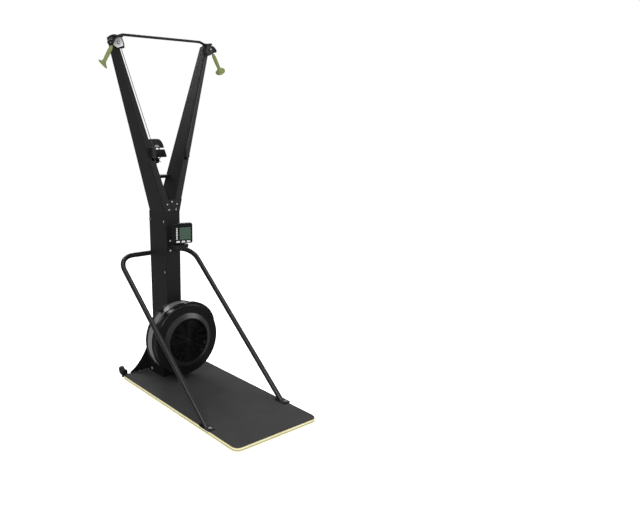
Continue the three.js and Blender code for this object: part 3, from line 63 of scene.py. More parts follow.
# Steps round a full turn
FINE = 128
RING = 96
ROUND = 48
SMALL = 24
CORD_SIDES = 12
WIRE_SIDES = 8


# Camera, floor and lights

CAMERA_PLACE = Vector((-1.99879, -2.66929, 1.59046))
CAMERA_YAW = -0.6237
CAMERA_PITCH = -0.31464
CAMERA_ROLL = -0.00691
IMAGE_WIDTH = 640
IMAGE_HEIGHT = 517
FOCAL_PIXELS = 586.85
CENTRE_PIXEL = (201.65, 322.14)
SENSOR = 36
FAR_LIMIT = 60

# Each lamp's name, place and target, its width and height, and its power in watts
LAMPS = [
    ("key", (-3.2, -2.6, 3.6), (0, 0.2, 0.9), (2.2, 2.2), 150),
    ("fill", (3.0, -2.2, 2.4), (0, 0.2, 0.9), (2.0, 2.0), 60),
    ("back", (1.0, 3.2, 3.2), (0, 0.3, 1.2), (2.4, 1.6), 90),
    ("top", (0, 0, 4.4), (0, 0, 0), (3.0, 3.0), 60),
]

ROOM_COLOUR = (0.95, 0.96, 0.98, 1)
ROOM_STRENGTH = 0.3
BACKDROP_COLOUR = (1, 1, 1, 1)
BACKDROP_STRENGTH = 1.0

FLOOR_HALF = 40
FLOOR_DROP = 0.0005
FLOOR_COLOUR = (0.9, 0.9, 0.9, 1)
FLOOR_ROUGHNESS = 0.9
FLOOR_SPECULAR = 0.1
FLOOR_GLOW_COLOUR = (1, 1, 1, 1)
FLOOR_GLOW = 0.75


def make_camera():
    data = bpy.data.cameras.new("camera")
    data.sensor_width = SENSOR
    data.lens = FOCAL_PIXELS / IMAGE_WIDTH * SENSOR
    data.shift_x = (IMAGE_WIDTH / 2 - CENTRE_PIXEL[0]) / IMAGE_WIDTH
    data.shift_y = (CENTRE_PIXEL[1] - IMAGE_HEIGHT / 2) / IMAGE_WIDTH
    data.clip_end = FAR_LIMIT
    camera = bpy.data.objects.new("camera", data)
    turn = Matrix.Rotation(CAMERA_YAW, 4, "Z") @ Matrix.Rotation(math.pi / 2 + CAMERA_PITCH, 4, "X")
    camera.matrix_world = Matrix.Translation(CAMERA_PLACE) @ turn @ Matrix.Rotation(CAMERA_ROLL, 4, "Z")
    bpy.context.scene.collection.objects.link(camera)
    bpy.context.scene.camera = camera


def make_light(name, place, target, size, power):
    data = bpy.data.lights.new(name, "AREA")
    data.shape = "RECTANGLE"
    data.size, data.size_y = size
    data.energy = power
    lamp = bpy.data.objects.new(name, data)
    lamp.location = place
    lamp.rotation_euler = (Vector(target) - Vector(place)).to_track_quat("-Z", "Y").to_euler()
    bpy.context.scene.collection.objects.link(lamp)


def make_world():
    """A white backdrop behind the object, in a room that gives a dimmer light."""
    world = bpy.data.worlds.new("studio")
    bpy.context.scene.world = world
    world.use_nodes = True
    tree = world.node_tree
    tree.nodes.clear()
    mix = tree.nodes.new("ShaderNodeMixShader")
    looks = ((ROOM_COLOUR, ROOM_STRENGTH), (BACKDROP_COLOUR, BACKDROP_STRENGTH))
    for i, (colour, strength) in enumerate(looks):
        look = tree.nodes.new("ShaderNodeBackground")
        look.inputs["Color"].default_value = colour
        look.inputs["Strength"].default_value = strength
        tree.links.new(look.outputs[0], mix.inputs[i + 1])
    path = tree.nodes.new("ShaderNodeLightPath")
    tree.links.new(path.outputs["Is Camera Ray"], mix.inputs[0])
    out = tree.nodes.new("ShaderNodeOutputWorld")
    tree.links.new(mix.outputs[0], out.inputs["Surface"])


def make_floor():
    bm = bmesh.new()
    bmesh.ops.create_grid(bm, x_segments=2, y_segments=2, size=FLOOR_HALF)
    floor = link_mesh("floor", bm)
    floor.location.z = -FLOOR_DROP
    paint = bpy.data.materials.new("floor_paint")
    paint.use_nodes = True
    shader = paint.node_tree.nodes["Principled BSDF"]
    shader.inputs["Base Color"].default_value = FLOOR_COLOUR
    shader.inputs["Roughness"].default_value = FLOOR_ROUGHNESS
    shader.inputs["Specular IOR Level"].default_value = FLOOR_SPECULAR
    shader.inputs["Emission Color"].default_value = FLOOR_GLOW_COLOUR
    shader.inputs["Emission Strength"].default_value = FLOOR_GLOW
    floor.data.materials.append(paint)
    floor.visible_glossy = False


# Materials

BROAD_SCALE = 9
BROAD_DETAIL = 3
GRAIN_DETAIL = 2
RELIEF_DEPTH = 0.001

# Each wave of glue lines: its scale and phase, its value where the dark ends, and the darkest share
PLY_WAVES = [(46, 0, 0.35, 0.5), (15.7, 1.4, 0.6, 0.42)]
PLY_WAVER = 0.4
PLY_DETAIL = 1

# The shield's painted highlight: it gets lighter along this direction, between these two lengths, from one
# share to the other
PAINTED_HIGHLIGHT_WAY = (0.6, 0, -0.8)
PAINTED_HIGHLIGHT_LENGTHS = (-1.858, -1.796)
PAINTED_HIGHLIGHT_SHARES = (0.10, 1.7)


def surface(name, dark, light, roughness, spread=0.08, metallic=0.0, grain=450, bump=0.06, specular=0.5,
            stretch=(1, 1, 1)):
    """A colour and a roughness that wander between two values, under a fine grain."""
    made = bpy.data.materials.new(name)
    made.use_nodes = True
    tree = made.node_tree
    shader = tree.nodes["Principled BSDF"]
    shader.inputs["Metallic"].default_value = metallic
    shader.inputs["Specular IOR Level"].default_value = specular
    place = tree.nodes.new("ShaderNodeTexCoord")
    scale = tree.nodes.new("ShaderNodeMapping")
    scale.inputs["Scale"].default_value = stretch
    tree.links.new(place.outputs["Object"], scale.inputs["Vector"])
    colour = tree.nodes.new("ShaderNodeMix")
    colour.data_type = "RGBA"
    colour.inputs["A"].default_value = (*dark, 1)
    colour.inputs["B"].default_value = (*light, 1)
    broad = noise(tree, scale, BROAD_SCALE, BROAD_DETAIL)
    tree.links.new(broad, colour.inputs["Factor"])
    tree.links.new(colour.outputs["Result"], shader.inputs["Base Color"])
    fine = noise(tree, scale, grain, GRAIN_DETAIL)
    rough = ramp(tree, fine, (0, 1), (roughness - spread, roughness + spread))
    tree.links.new(rough, shader.inputs["Roughness"])
    relief = tree.nodes.new("ShaderNodeBump")
    relief.inputs["Strength"].default_value = bump
    relief.inputs["Distance"].default_value = RELIEF_DEPTH
    tree.links.new(fine, relief.inputs["Height"])
    tree.links.new(relief.outputs["Normal"], shader.inputs["Normal"])
    return made


def noise(tree, source, scale, detail):
    node = tree.nodes.new("ShaderNodeTexNoise")
    node.inputs["Scale"].default_value = scale
    node.inputs["Detail"].default_value = detail
    tree.links.new(source.outputs["Vector"], node.inputs["Vector"])
    return node.outputs["Fac"]


def ramp(tree, value, given, wanted):
    """A value carried from one range to another."""
    node = tree.nodes.new("ShaderNodeMapRange")
    node.inputs["From Min"].default_value, node.inputs["From Max"].default_value = given
    node.inputs["To Min"].default_value, node.inputs["To Max"].default_value = wanted
    tree.links.new(value, node.inputs["Value"])
    return node.outputs["Result"]


def shaded(tree, share):
    """Multiplies the material's base colour by a value."""
    base = tree.nodes["Principled BSDF"].inputs["Base Color"]
    product = tree.nodes.new("ShaderNodeMix")
    product.data_type = "RGBA"
    product.blend_type = "MULTIPLY"
    product.inputs["Factor"].default_value = 1
    tree.links.new(base.links[0].from_socket, product.inputs["A"])
    tree.links.new(share, product.inputs["B"])
    tree.links.new(product.outputs["Result"], base)


def plywood():
    """Pale plies with darker glue lines between them, seen on the board's edge."""
    made = surface("plywood", dark=(0.72, 0.65, 0.34), light=(0.92, 0.87, 0.56),
                   roughness=0.55, grain=260, bump=0.1, stretch=(1, 1, 5))
    tree = made.node_tree
    place = tree.nodes.new("ShaderNodeTexCoord")
    for scale, phase, until, darkest in PLY_WAVES:
        wave = tree.nodes.new("ShaderNodeTexWave")
        wave.wave_type = "BANDS"
        wave.bands_direction = "Z"
        wave.inputs["Scale"].default_value = scale
        wave.inputs["Phase Offset"].default_value = phase
        wave.inputs["Distortion"].default_value = PLY_WAVER
        wave.inputs["Detail"].default_value = PLY_DETAIL
        tree.links.new(place.outputs["Object"], wave.inputs["Vector"])
        shaded(tree, ramp(tree, wave.outputs["Fac"], (0, until), (darkest, 1)))
    return made


def shield_painted_reflection():
    """Painted reflection: a pale steel colour that stands in for the light the left shield reflects, darker
    at the top outboard corner and lighter towards the foot under a painted highlight.
    """
    made = surface("shield_painted_reflection", dark=(0.30, 0.30, 0.298), light=(0.40, 0.40, 0.396),
                   roughness=0.42, spread=0.02, metallic=0.35, grain=60, bump=0.0)
    tree = made.node_tree
    place = tree.nodes.new("ShaderNodeTexCoord")
    along = tree.nodes.new("ShaderNodeVectorMath")
    along.operation = "DOT_PRODUCT"
    along.inputs[1].default_value = PAINTED_HIGHLIGHT_WAY
    tree.links.new(place.outputs["Object"], along.inputs[0])
    shaded(tree, ramp(tree, along.outputs["Value"], PAINTED_HIGHLIGHT_LENGTHS, PAINTED_HIGHLIGHT_SHARES))
    return made


POWDER = surface("powder_coat", dark=(0.0060, 0.0060, 0.0062), light=(0.0090, 0.0090, 0.0092),
                 roughness=0.46, grain=900, bump=0.14, specular=0.22)
TUBE_COAT = surface("tube_coat", dark=(0.007, 0.007, 0.0073), light=(0.011, 0.011, 0.0115),
                    roughness=0.30, grain=700, bump=0.05, specular=0.36)
PLYWOOD = plywood()
MAT = surface("mat_rubber", dark=(0.022, 0.022, 0.0216), light=(0.036, 0.036, 0.0353),
              roughness=0.82, grain=520, bump=0.5, specular=0.3)
RUBBER = surface("rubber", dark=(0.010, 0.010, 0.011), light=(0.018, 0.018, 0.019),
                 roughness=0.75, grain=400, bump=0.2, specular=0.3)
GLOSS = surface("gloss_plastic", dark=(0.0035, 0.0035, 0.0037), light=(0.005, 0.005, 0.0052),
                roughness=0.26, spread=0.03, grain=120, bump=0.01, specular=0.24)
MATTE = surface("matte_plastic", dark=(0.008, 0.008, 0.0083), light=(0.013, 0.013, 0.0134),
                roughness=0.5, grain=800, bump=0.12, specular=0.25)
# The collar's skin is the cover's own plastic made lighter and glossier, a painted highlight on the bevel.
COLLAR_PAINTED_HIGHLIGHT = surface("cover_collar_painted_highlight", dark=(0.012, 0.012, 0.0125), light=(0.017, 0.017, 0.0175),
                 roughness=0.34, spread=0.03, grain=160, bump=0.01, specular=0.42)
SCREEN = surface("perforated_steel", dark=(0.26, 0.26, 0.262), light=(0.34, 0.34, 0.342),
                 roughness=0.42, metallic=0.45, grain=300, bump=0.02)
STEEL = surface("steel", dark=(0.36, 0.37, 0.38), light=(0.5, 0.5, 0.52),
                roughness=0.32, metallic=1, grain=350, bump=0.06, stretch=(1, 1, 6))
DULL = surface("dull_zinc", dark=(0.48, 0.48, 0.483), light=(0.62, 0.62, 0.623),
               roughness=0.5, metallic=0.1, grain=350, bump=0.03)
BRIGHT = surface("polished_steel", dark=(0.5, 0.51, 0.53), light=(0.72, 0.73, 0.75),
                 roughness=0.24, metallic=1, grain=200, bump=0.02, stretch=(6, 1, 1))
SHELL = surface("shell_plastic", dark=(0.008, 0.008, 0.0083), light=(0.012, 0.012, 0.0124),
                roughness=0.7, grain=800, bump=0.1, specular=0.1)
# A painted reflection: the left shield's pale colour and its lighter foot stand in for the light it
# reflects.
SHIELD_PAINTED_REFLECTION = shield_painted_reflection()
OLIVE = surface("olive_grip", dark=(0.105, 0.132, 0.036), light=(0.165, 0.20, 0.062),
                roughness=0.55, grain=500, bump=0.25, specular=0.35)
CORD = surface("cord_black", dark=(0.02, 0.02, 0.021), light=(0.05, 0.05, 0.052),
               roughness=0.7, grain=1400, bump=0.5, specular=0.3)
LCD = surface("lcd_glass", dark=(0.034, 0.058, 0.042), light=(0.048, 0.078, 0.058),
              roughness=0.22, spread=0.03, grain=60, bump=0.01, specular=0.4)
WHITE = surface("white_plastic", dark=(0.42, 0.43, 0.42), light=(0.52, 0.53, 0.52),
                roughness=0.4, grain=200, bump=0.03)

MATERIAL_OF_SLOT = {
    "powder_coat": POWDER,
    "plywood": PLYWOOD,
    "mat_rubber": MAT,
    "rubber": RUBBER,
    "gloss_plastic": GLOSS,
    "matte_plastic": MATTE,
    "perforated_steel": SCREEN,
    "steel": STEEL,
    "polished_steel": BRIGHT,
    "olive_grip": OLIVE,
    "cord_black": CORD,
    "lcd_glass": LCD,
    "white_plastic": WHITE,
}
NODE_SLOT = {part["node"]: part["material_slot"] for part in frame["record"]["subparts"]}
BODY_NODES = frame["record"]["behaviour"]["bodies"]
NODE_BODY = {node: body for body, nodes in BODY_NODES.items() for node in nodes}


# Outlines

def turns(count):
    """The angles of equal steps round a full turn."""
    return [2 * math.pi * k / count for k in range(count)]


def circle(radius, sides):
    return [(radius * math.cos(a), radius * math.sin(a)) for a in turns(sides)]


def about(middle, half):
    return (middle - half, middle + half)


def grown(span, by):
    return (span[0] - by, span[1] + by)


def rectangle(u, v):
    return [(u[0], v[0]), (u[1], v[0]), (u[1], v[1]), (u[0], v[1])]


def trapezoid(foot_half, foot, top_half, top):
    return [(-foot_half, foot), (foot_half, foot), (top_half, top), (-top_half, top)]


def rounded(points, radii, steps):
    """An outline of (u, v) points with each corner rounded, all by one radius or each by its own."""
    outline = []
    for i, corner in enumerate(points):
        here = Vector(corner)
        into = (here - Vector(points[i - 1])).normalized()
        out = (Vector(points[(i + 1) % len(points)]) - here).normalized()
        radius = radii[i] if isinstance(radii, list) else radii
        setback = radius * math.tan(into.angle(out) / 2)
        for k in range(steps + 1):
            share = k / steps
            a = here - into * setback * (1 - share)
            b = here + out * setback * share
            outline.append(tuple(a.lerp(b, share)))
    return outline


def arc(centre, radius, start, end, steps):
    """Points of a circle's arc, angles in degrees from the radius axis towards the depth axis."""
    found = []
    for k in range(steps + 1):
        a = math.radians(start + (end - start) * k / steps)
        found.append((centre[0] + radius * math.cos(a), centre[1] + radius * math.sin(a)))
    return found


def bent(corners, radius, steps):
    """A route through corners, with each inner corner rounded to a radius."""
    corners = [Vector(c) for c in corners]
    route = [corners[0]]
    for before, here, after in zip(corners, corners[1:], corners[2:]):
        into = (here - before).normalized()
        out = (after - here).normalized()
        turn = into.angle(out)
        start = here - into * radius * math.tan(turn / 2)
        inward = (out - into * out.dot(into)).normalized()
        for k in range(steps + 1):
            a = turn * k / steps
            route.append(start + into * radius * math.sin(a) + inward * radius * (1 - math.cos(a)))
    route.append(corners[-1])
    return route


# Meshes

WELD = 1e-6
FLAT_ANGLE = math.radians(0.6)
SMOOTH_ANGLE = math.radians(33)
SOFTEN_ANGLE = math.radians(35)
SLAB_ANGLE = math.radians(50)


def link_mesh(name, bm):
    mesh = bpy.data.meshes.new(name)
    bm.to_mesh(mesh)
    bm.free()
    made = bpy.data.objects.new(name, mesh)
    bpy.context.scene.collection.objects.link(made)
    return made


def merge(bm, other):
    mesh = bpy.data.meshes.new("part")
    other.to_mesh(mesh)
    other.free()
    bm.from_mesh(mesh)
    bpy.data.meshes.remove(mesh)


def moved(bm, matrix):
    bmesh.ops.transform(bm, matrix=matrix, verts=bm.verts)
    return bm


def shade(bm):
    """Smooth faces, with a hard line at each edge that turns by more than the smooth angle."""
    bmesh.ops.recalc_face_normals(bm, faces=bm.faces)
    for face in bm.faces:
        face.smooth = True
    for edge in bm.edges:
        edge.smooth = len(edge.link_faces) == 2 and edge.calc_face_angle(0) < SMOOTH_ANGLE


def bevel(bm, width, segments, angle):
    bmesh.ops.recalc_face_normals(bm, faces=bm.faces)
    sharp = [e for e in bm.edges if len(e.link_faces) == 2 and e.calc_face_angle(0) > angle]
    bmesh.ops.bevel(
        bm, geom=sharp, offset=width, segments=segments, profile=0.5, affect="EDGES", clamp_overlap=True)


def skin(bm, rings):
    """Faces between rings of points, with both ends closed."""
    verts = [[bm.verts.new(co) for co in ring] for ring in rings]
    for low, high in zip(verts, verts[1:]):
        for k in range(len(low)):
            n = (k + 1) % len(low)
            bm.faces.new((low[k], low[n], high[n], high[k]))
    bm.faces.new(list(reversed(verts[0])))
    bm.faces.new(verts[-1])


def lathe(profile, segments):
    """A closed profile of (radius, depth) points turned about the Y axis."""
    bm = bmesh.new()
    rings = []
    for a in turns(segments):
        rings.append([bm.verts.new((r * math.sin(a), y, r * math.cos(a))) for r, y in profile])
    for i, ring in enumerate(rings):
        following = rings[(i + 1) % segments]
        for k in range(len(profile)):
            n = (k + 1) % len(profile)
            bm.faces.new((ring[k], ring[n], following[n], following[k]))
    bmesh.ops.remove_doubles(bm, verts=bm.verts, dist=WELD)
    return bm


def flat_ring(radii, depths, segments):
    """A ring about the Y axis, between two radii and two depths."""
    return lathe(rectangle(radii, depths), segments)


def slab(outline, low, high, plane, edge=0.0, segments=2):
    """An outline carried from one depth to the other. The plane names its two axes."""
    place = {
        "XZ": lambda u, v, w: Vector((u, w, v)),
        "XY": lambda u, v, w: Vector((u, v, w)),
    }[plane]
    bm = bmesh.new()
    face = bm.faces.new([bm.verts.new(place(u, v, low)) for u, v in outline])
    made = bmesh.ops.extrude_face_region(bm, geom=[face])
    far = [v for v in made["geom"] if isinstance(v, bmesh.types.BMVert)]
    bmesh.ops.translate(bm, verts=far, vec=place(0, 0, high) - place(0, 0, low))
    if edge:
        bevel(bm, edge, segments, SLAB_ANGLE)
    return bm


def box(x, y, z, edge):
    return slab(rectangle(x, y), z[0], z[1], "XY", edge)


def tube(points, radius, sides):
    """A round bar along points, closed at both ends."""
    bm = bmesh.new()
    points = [Vector(p) for p in points]
    rings = []
    side = None
    for i, point in enumerate(points):
        along = (points[min(i + 1, len(points) - 1)] - points[max(i - 1, 0)]).normalized()
        if side is None:
            side = along.orthogonal().normalized()
        side = (side - along * side.dot(along)).normalized()
        across = along.cross(side)
        spokes = [side * math.cos(a) + across * math.sin(a) for a in turns(sides)]
        rings.append([point + spoke * radius for spoke in spokes])
    skin(bm, rings)
    return bm


# Pieces

def piece(name, bm, body, slot, replaced=(), material=None):
    """Ends a mesh as a piece of the object: shaded, painted and riding on its body."""
    shade(bm)
    made = link_mesh(name, bm)
    made.data.materials.append(material or MATERIAL_OF_SLOT[slot])
    weighted = made.modifiers.new("flat_faces", "WEIGHTED_NORMAL")
    weighted.keep_sharp = True
    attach(made, body)
    if replaced:
        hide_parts(*replaced)


def node_piece(node, bm, material=None):
    """A piece that stands for one CAD node."""
    piece(node + "_skin", bm, NODE_BODY[node], NODE_SLOT[node], (node,), material)


def soften(node, width, segments=2, material=None):
    """The CAD node's own form with its edges rounded."""
    bm = bmesh.new()
    bm.from_mesh(frame["nodes"][node].data)
    bmesh.ops.remove_doubles(bm, verts=bm.verts, dist=WELD)
    bmesh.ops.dissolve_limit(bm, angle_limit=FLAT_ANGLE, verts=bm.verts, edges=bm.edges)
    bevel(bm, width, segments, SOFTEN_ANGLE)
    node_piece(node, bm, material)


# A bolt's dome from its foot to its top, as shares of the head's radius and height
DOME_SHARES = [(1, 0), (1, 0.45), (0.86, 0.82), (0.6, 1)]
SOCKET_SHARE = 0.42
SOCKET_FLOOR_SHARE = 0.4
SOCKET_CORNER = math.pi / 3
WASHER_RADIUS_SHARE = 1.35
WASHER_HEIGHT_SHARE = 0.22
WASHER_SINK = 0.0002
WASHER_EDGE = 0.0002


def bolt(name, place, along, size, body, material):
    """A domed head with a hexagon socket, on a washer. Its size is its radius and its height."""
    radius, height = size
    dome = [(radius * r, height * h) for r, h in DOME_SHARES]
    rings = [[Vector((x, y, h)) for x, y in circle(r, SMALL)] for r, h in dome]
    flat = radius * SOCKET_SHARE * math.cos(SOCKET_CORNER / 2)
    for h in (height, height * SOCKET_FLOOR_SHARE):
        ring = []
        for a in turns(SMALL):
            reach = flat / math.cos((a % SOCKET_CORNER) - SOCKET_CORNER / 2)
            ring.append(Vector((reach * math.cos(a), reach * math.sin(a), h)))
        rings.append(ring)
    bm = bmesh.new()
    skin(bm, rings)
    washer = circle(radius * WASHER_RADIUS_SHARE, SMALL)
    merge(bm, slab(washer, -WASHER_SINK, height * WASHER_HEIGHT_SHARE, "XY", WASHER_EDGE, segments=1))
    turn = Vector(along).to_track_quat("Z", "Y").to_matrix().to_4x4()
    piece(name, moved(bm, Matrix.Translation(place) @ turn), body, "steel", material=material)


# Platform

# Each sheet's corner radius at the front and at the rear, and the rounding of its edges
SHEETS = {"platform_board": (0.046, 0.024, 0.0035), "floor_mat": (0.043, 0.021, 0.0018)}
STRIP_EDGE = 0.001


def make_platform():
    for node, (front_radius, rear_radius, edge) in SHEETS.items():
        low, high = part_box(node)
        corners = rectangle((low.x, high.x), (low.y, high.y))
        outline = rounded(corners, [front_radius, front_radius, rear_radius, rear_radius], steps=12)
        node_piece(node, slab(outline, low.z, high.z, "XY", edge, segments=3))
    for row in ("front", "middle", "rear"):
        soften("rubber_strip_" + row, STRIP_EDGE)


# Steel frame

# The rounding of the edges of what stands alone, and of what is there on both sides
COLUMN_EDGE = 0.002
SINGLE_EDGES = {
    "junction_plate": 0.0008,
    "tie_bar": 0.0015,
    "pedestal_cover": 0.0015,
    "monitor_bracket": 0.001,
    "monitor_yoke": 0.001,
}
PAIR_EDGES = {
    "arm": 0.0015,
    "base_gusset": 0.0012,
    "wheel_bracket": 0.0008,
    "swivel_bracket": 0.001,
    "fairlead": 0.0015,
}

# Each kind of head's radius and height, and the heads' places: (y, z) on the sides and (x, z) in front
COLUMN_BOLT = (0.0047, 0.003)
COLUMN_HALF = 0.054
COLUMN_BOLTS = [(0.434, 0.736), (0.434, 1.057), (0.596, 0.736), (0.596, 1.057)]
PEDESTAL_BOLT = (0.0064, 0.0038)
PEDESTAL_HALF = 0.104
PEDESTAL_BOLTS = [(0.5477, 0.0543), (0.5087, 0.1083), (0.4867, 0.1383)]
BRACKET_BOLT = (0.0036, 0.003)
BRACKET_BOLT_X = -0.028
BRACKET_FACE = 0.3991
BRACKET_BOLT_HEIGHTS = (0.940, 0.879)

# The junction plate leans back from where its face starts, and its own heads stand out from that face
JUNCTION_BOLT = (0.0040, 0.0014)
JUNCTION_BOLTS = [(0, 1.178), (0.035, 1.163), (-0.035, 1.163), (0.026, 1.130), (-0.026, 1.130)]
JUNCTION_FACE_START = 0.0032
JUNCTION_LEAN = 0.0038
JUNCTION_HEAD = 0.0029


def make_frame():
    soften("column", COLUMN_EDGE)
    for side in SIDES:
        for node, edge in PAIR_EDGES.items():
            soften(node + "_" + SIDE_NAME[side], edge)
    for node, edge in SINGLE_EDGES.items():
        soften(node, edge)


def make_frame_bolts():
    for side in SIDES:
        for i, (y, z) in enumerate(COLUMN_BOLTS):
            name = "column_bolt_%s_%d" % (SIDE_NAME[side], i)
            bolt(name, (side * COLUMN_HALF, y, z), (side, 0, 0), COLUMN_BOLT, "frame", DULL)
    low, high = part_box("junction_plate")
    for i, (x, z) in enumerate(JUNCTION_BOLTS):
        share = (z - low.z) / (high.z - low.z)
        face = low.y + JUNCTION_FACE_START + share * JUNCTION_LEAN
        place = (x, face - JUNCTION_HEAD, z)
        bolt("junction_bolt_%d" % i, place, (0, -1, 0), JUNCTION_BOLT, "frame", DULL)
    for side in SIDES:
        for i, (y, z) in enumerate(PEDESTAL_BOLTS):
            name = "pedestal_bolt_%s_%d" % (SIDE_NAME[side], i)
            place = (side * PEDESTAL_HALF, y, z)
            # The three heads are alike. The lowest takes the pale dull material as a painted highlight, and
            # the other two take polished steel.
            bolt(name, place, (side, 0, 0), PEDESTAL_BOLT, "frame", STEEL if i else DULL)
    for i, z in enumerate(BRACKET_BOLT_HEIGHTS):
        place = (BRACKET_BOLT_X, BRACKET_FACE, z)
        bolt("bracket_bolt_%d" % i, place, (0, -1, 0), BRACKET_BOLT, "frame", DULL)


CROSSBAR_RADIUS = 0.007
CROSSBAR_END = 0.307
CROSSBAR_BEND = 0.296
CROSSBAR_RUN = 0.262
CROSSBAR_CURVE = 0.04
TAB_LENGTH = 0.023
TAB_THICKNESS = 0.004
TAB_CORNER = 0.004
TAB_EDGE = 0.0008


def make_crossbar():
    """A round bar, bent down at both ends, with a flat tab under each end."""
    low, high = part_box("crossbar")
    y = (low.y + high.y) / 2
    seat = low.z + CROSSBAR_RADIUS
    run = high.z - CROSSBAR_RADIUS
    half = [(CROSSBAR_END, y, seat), (CROSSBAR_BEND, y, seat), (CROSSBAR_RUN, y, run)]
    corners = [(-x, y, z) for x, y, z in half] + half[::-1]
    bm = tube(bent(corners, CROSSBAR_CURVE, steps=6), CROSSBAR_RADIUS, ROUND)
    for side in SIDES:
        ends = sorted((side * (high.x - TAB_LENGTH), side * high.x))
        tab = rounded(rectangle(ends, (low.y, high.y)), TAB_CORNER, steps=4)
        merge(bm, slab(tab, low.z, low.z + TAB_THICKNESS, "XY", TAB_EDGE))
    node_piece("crossbar", bm)


HOOP_RADIUS = 0.016
HOOP_CURVE = 0.106
HOOP_LEG_X = 0.283
HOOP_FOOT_Y = -0.313
HOOP_OVERRUN = 0.03
HOOP_FOOT_EDGE = 0.0009
HOOP_BOLT = (0.0078, 0.0032)
HOOP_BOLT_REACH = 0.044
HOOP_BOLT_SINK = 0.003


def make_hoop():
    """A bent tube whose two legs end flat on their foot plates."""
    low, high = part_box("support_hoop")
    rear = high.y - HOOP_RADIUS
    top = high.z - HOOP_RADIUS
    ends = [Vector((side * HOOP_LEG_X, HOOP_FOOT_Y, low.z)) for side in SIDES]
    tops = [Vector((side * HOOP_LEG_X, rear, top)) for side in SIDES]
    drop = (ends[0] - tops[0]).normalized() * HOOP_OVERRUN
    route = bent([ends[0] + drop, tops[0], tops[1], ends[1] + drop], HOOP_CURVE, steps=16)
    bm = tube(route, HOOP_RADIUS, ROUND)
    geometry = [*bm.verts, *bm.edges, *bm.faces]
    trim = bmesh.ops.bisect_plane(
        bm, geom=geometry, plane_co=(0, 0, low.z), plane_no=(0, 0, 1), clear_inner=True)
    cuts = [e for e in trim["geom_cut"] if isinstance(e, bmesh.types.BMEdge)]
    bmesh.ops.holes_fill(bm, edges=cuts)
    node_piece("support_hoop", bm, TUBE_COAT)
    for side in SIDES:
        name = SIDE_NAME[side]
        soften("hoop_foot_" + name, HOOP_FOOT_EDGE, 2, POWDER)
        plate_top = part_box("hoop_foot_" + name)[1].z
        place = (side * HOOP_LEG_X, HOOP_FOOT_Y - HOOP_BOLT_REACH, plate_top - HOOP_BOLT_SINK)
        bolt("hoop_bolt_" + name, place, (0, 0, 1), HOOP_BOLT, "frame", DULL)


# A wheel's face from its bore to its tread, as radius and depth under the rim
WHEEL_FACE = [(0.0044, 0.003), (0.010, 0), (0.013, 0), (0.0145, 0.003), (0.021, 0.003), (0.0225, 0),
              (0.0265, 0.0006), (0.0287, 0.0026)]
WHEEL_SHOULDER = 0.0062


def make_wheels():
    for side in SIDES:
        node = "transport_wheel_" + SIDE_NAME[side]
        low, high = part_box(node)
        half = (high.x - low.x) / 2
        face = [*WHEEL_FACE, ((high.z - low.z) / 2, WHEEL_SHOULDER)]
        profile = [(r, depth - half) for r, depth in face]
        profile += [(r, half - depth) for r, depth in face[::-1]]
        place = Matrix.Translation((low + high) / 2) @ Matrix.Rotation(-math.pi / 2, 4, "Z")
        node_piece(node, moved(lathe(profile, ROUND), place))


# Fan, drawn about its own axis and then lifted to its height

FAN_HEIGHT = 0.317
FAN = Matrix.Translation((0, 0, FAN_HEIGHT))

COVER_FRONT = 0.262
COVER_REAR = 0.322
COVER_RADIUS = 0.235
COVER_WALL = 0.004
COVER_BORE = 0.226
# The lip at the rear, down to a groove, as radius and distance before the rear
COVER_LIP = [(0.234, 0), (0.234, 0.007), (0.2325, 0.009), (0.230, 0.0115)]
# The slope from the groove up to the shoulder, as radius and depth behind the front
COVER_SLOPE = [(0.230, 0.027), (0.2325, 0.0245)]
COVER_SHOULDER = 0.004
COVER_SHOULDER_DEPTH = 0.0195
COVER_CORNER = 0.009
FACE_RADIUS = 0.205
FACE_DEPTH = 0.0015

COLLAR_FRONT = 0.246
COLLAR_OUTER = 0.177
COLLAR_INNER = 0.147
COLLAR_RISE = 0.0002
COLLAR_FOOT_WIDTH = 0.004
COLLAR_FOOT_DEPTH = 0.0012
COLLAR_NOSE_WIDTH = 0.003
COLLAR_NOSE_DEPTH = 0.001
COLLAR_LEDGE = 0.004
COLLAR_LEDGE_REAR = 0.002

COLLAR_SKIN = 0.0005
COLLAR_SKIN_LAP = 0.0004
COLLAR_SKIN_SINK = 0.001
COLLAR_SKIN_NOSE_SINK = 0.002

# The raised lip: where it starts and how far it goes on, as shares of a turn from the top, and its form
HOOD_START_SHARE = -0.03
HOOD_SWEEP_SHARE = 0.215
HOOD_STEPS = 28
HOOD_FOOT = 0.231
HOOD_RADIUS = 0.234
HOOD_HEIGHT = 0.017
HOOD_POWER = 0.6
HOOD_DEPTHS = (0.004, 0.028)
HOOD_EDGE = 0.003


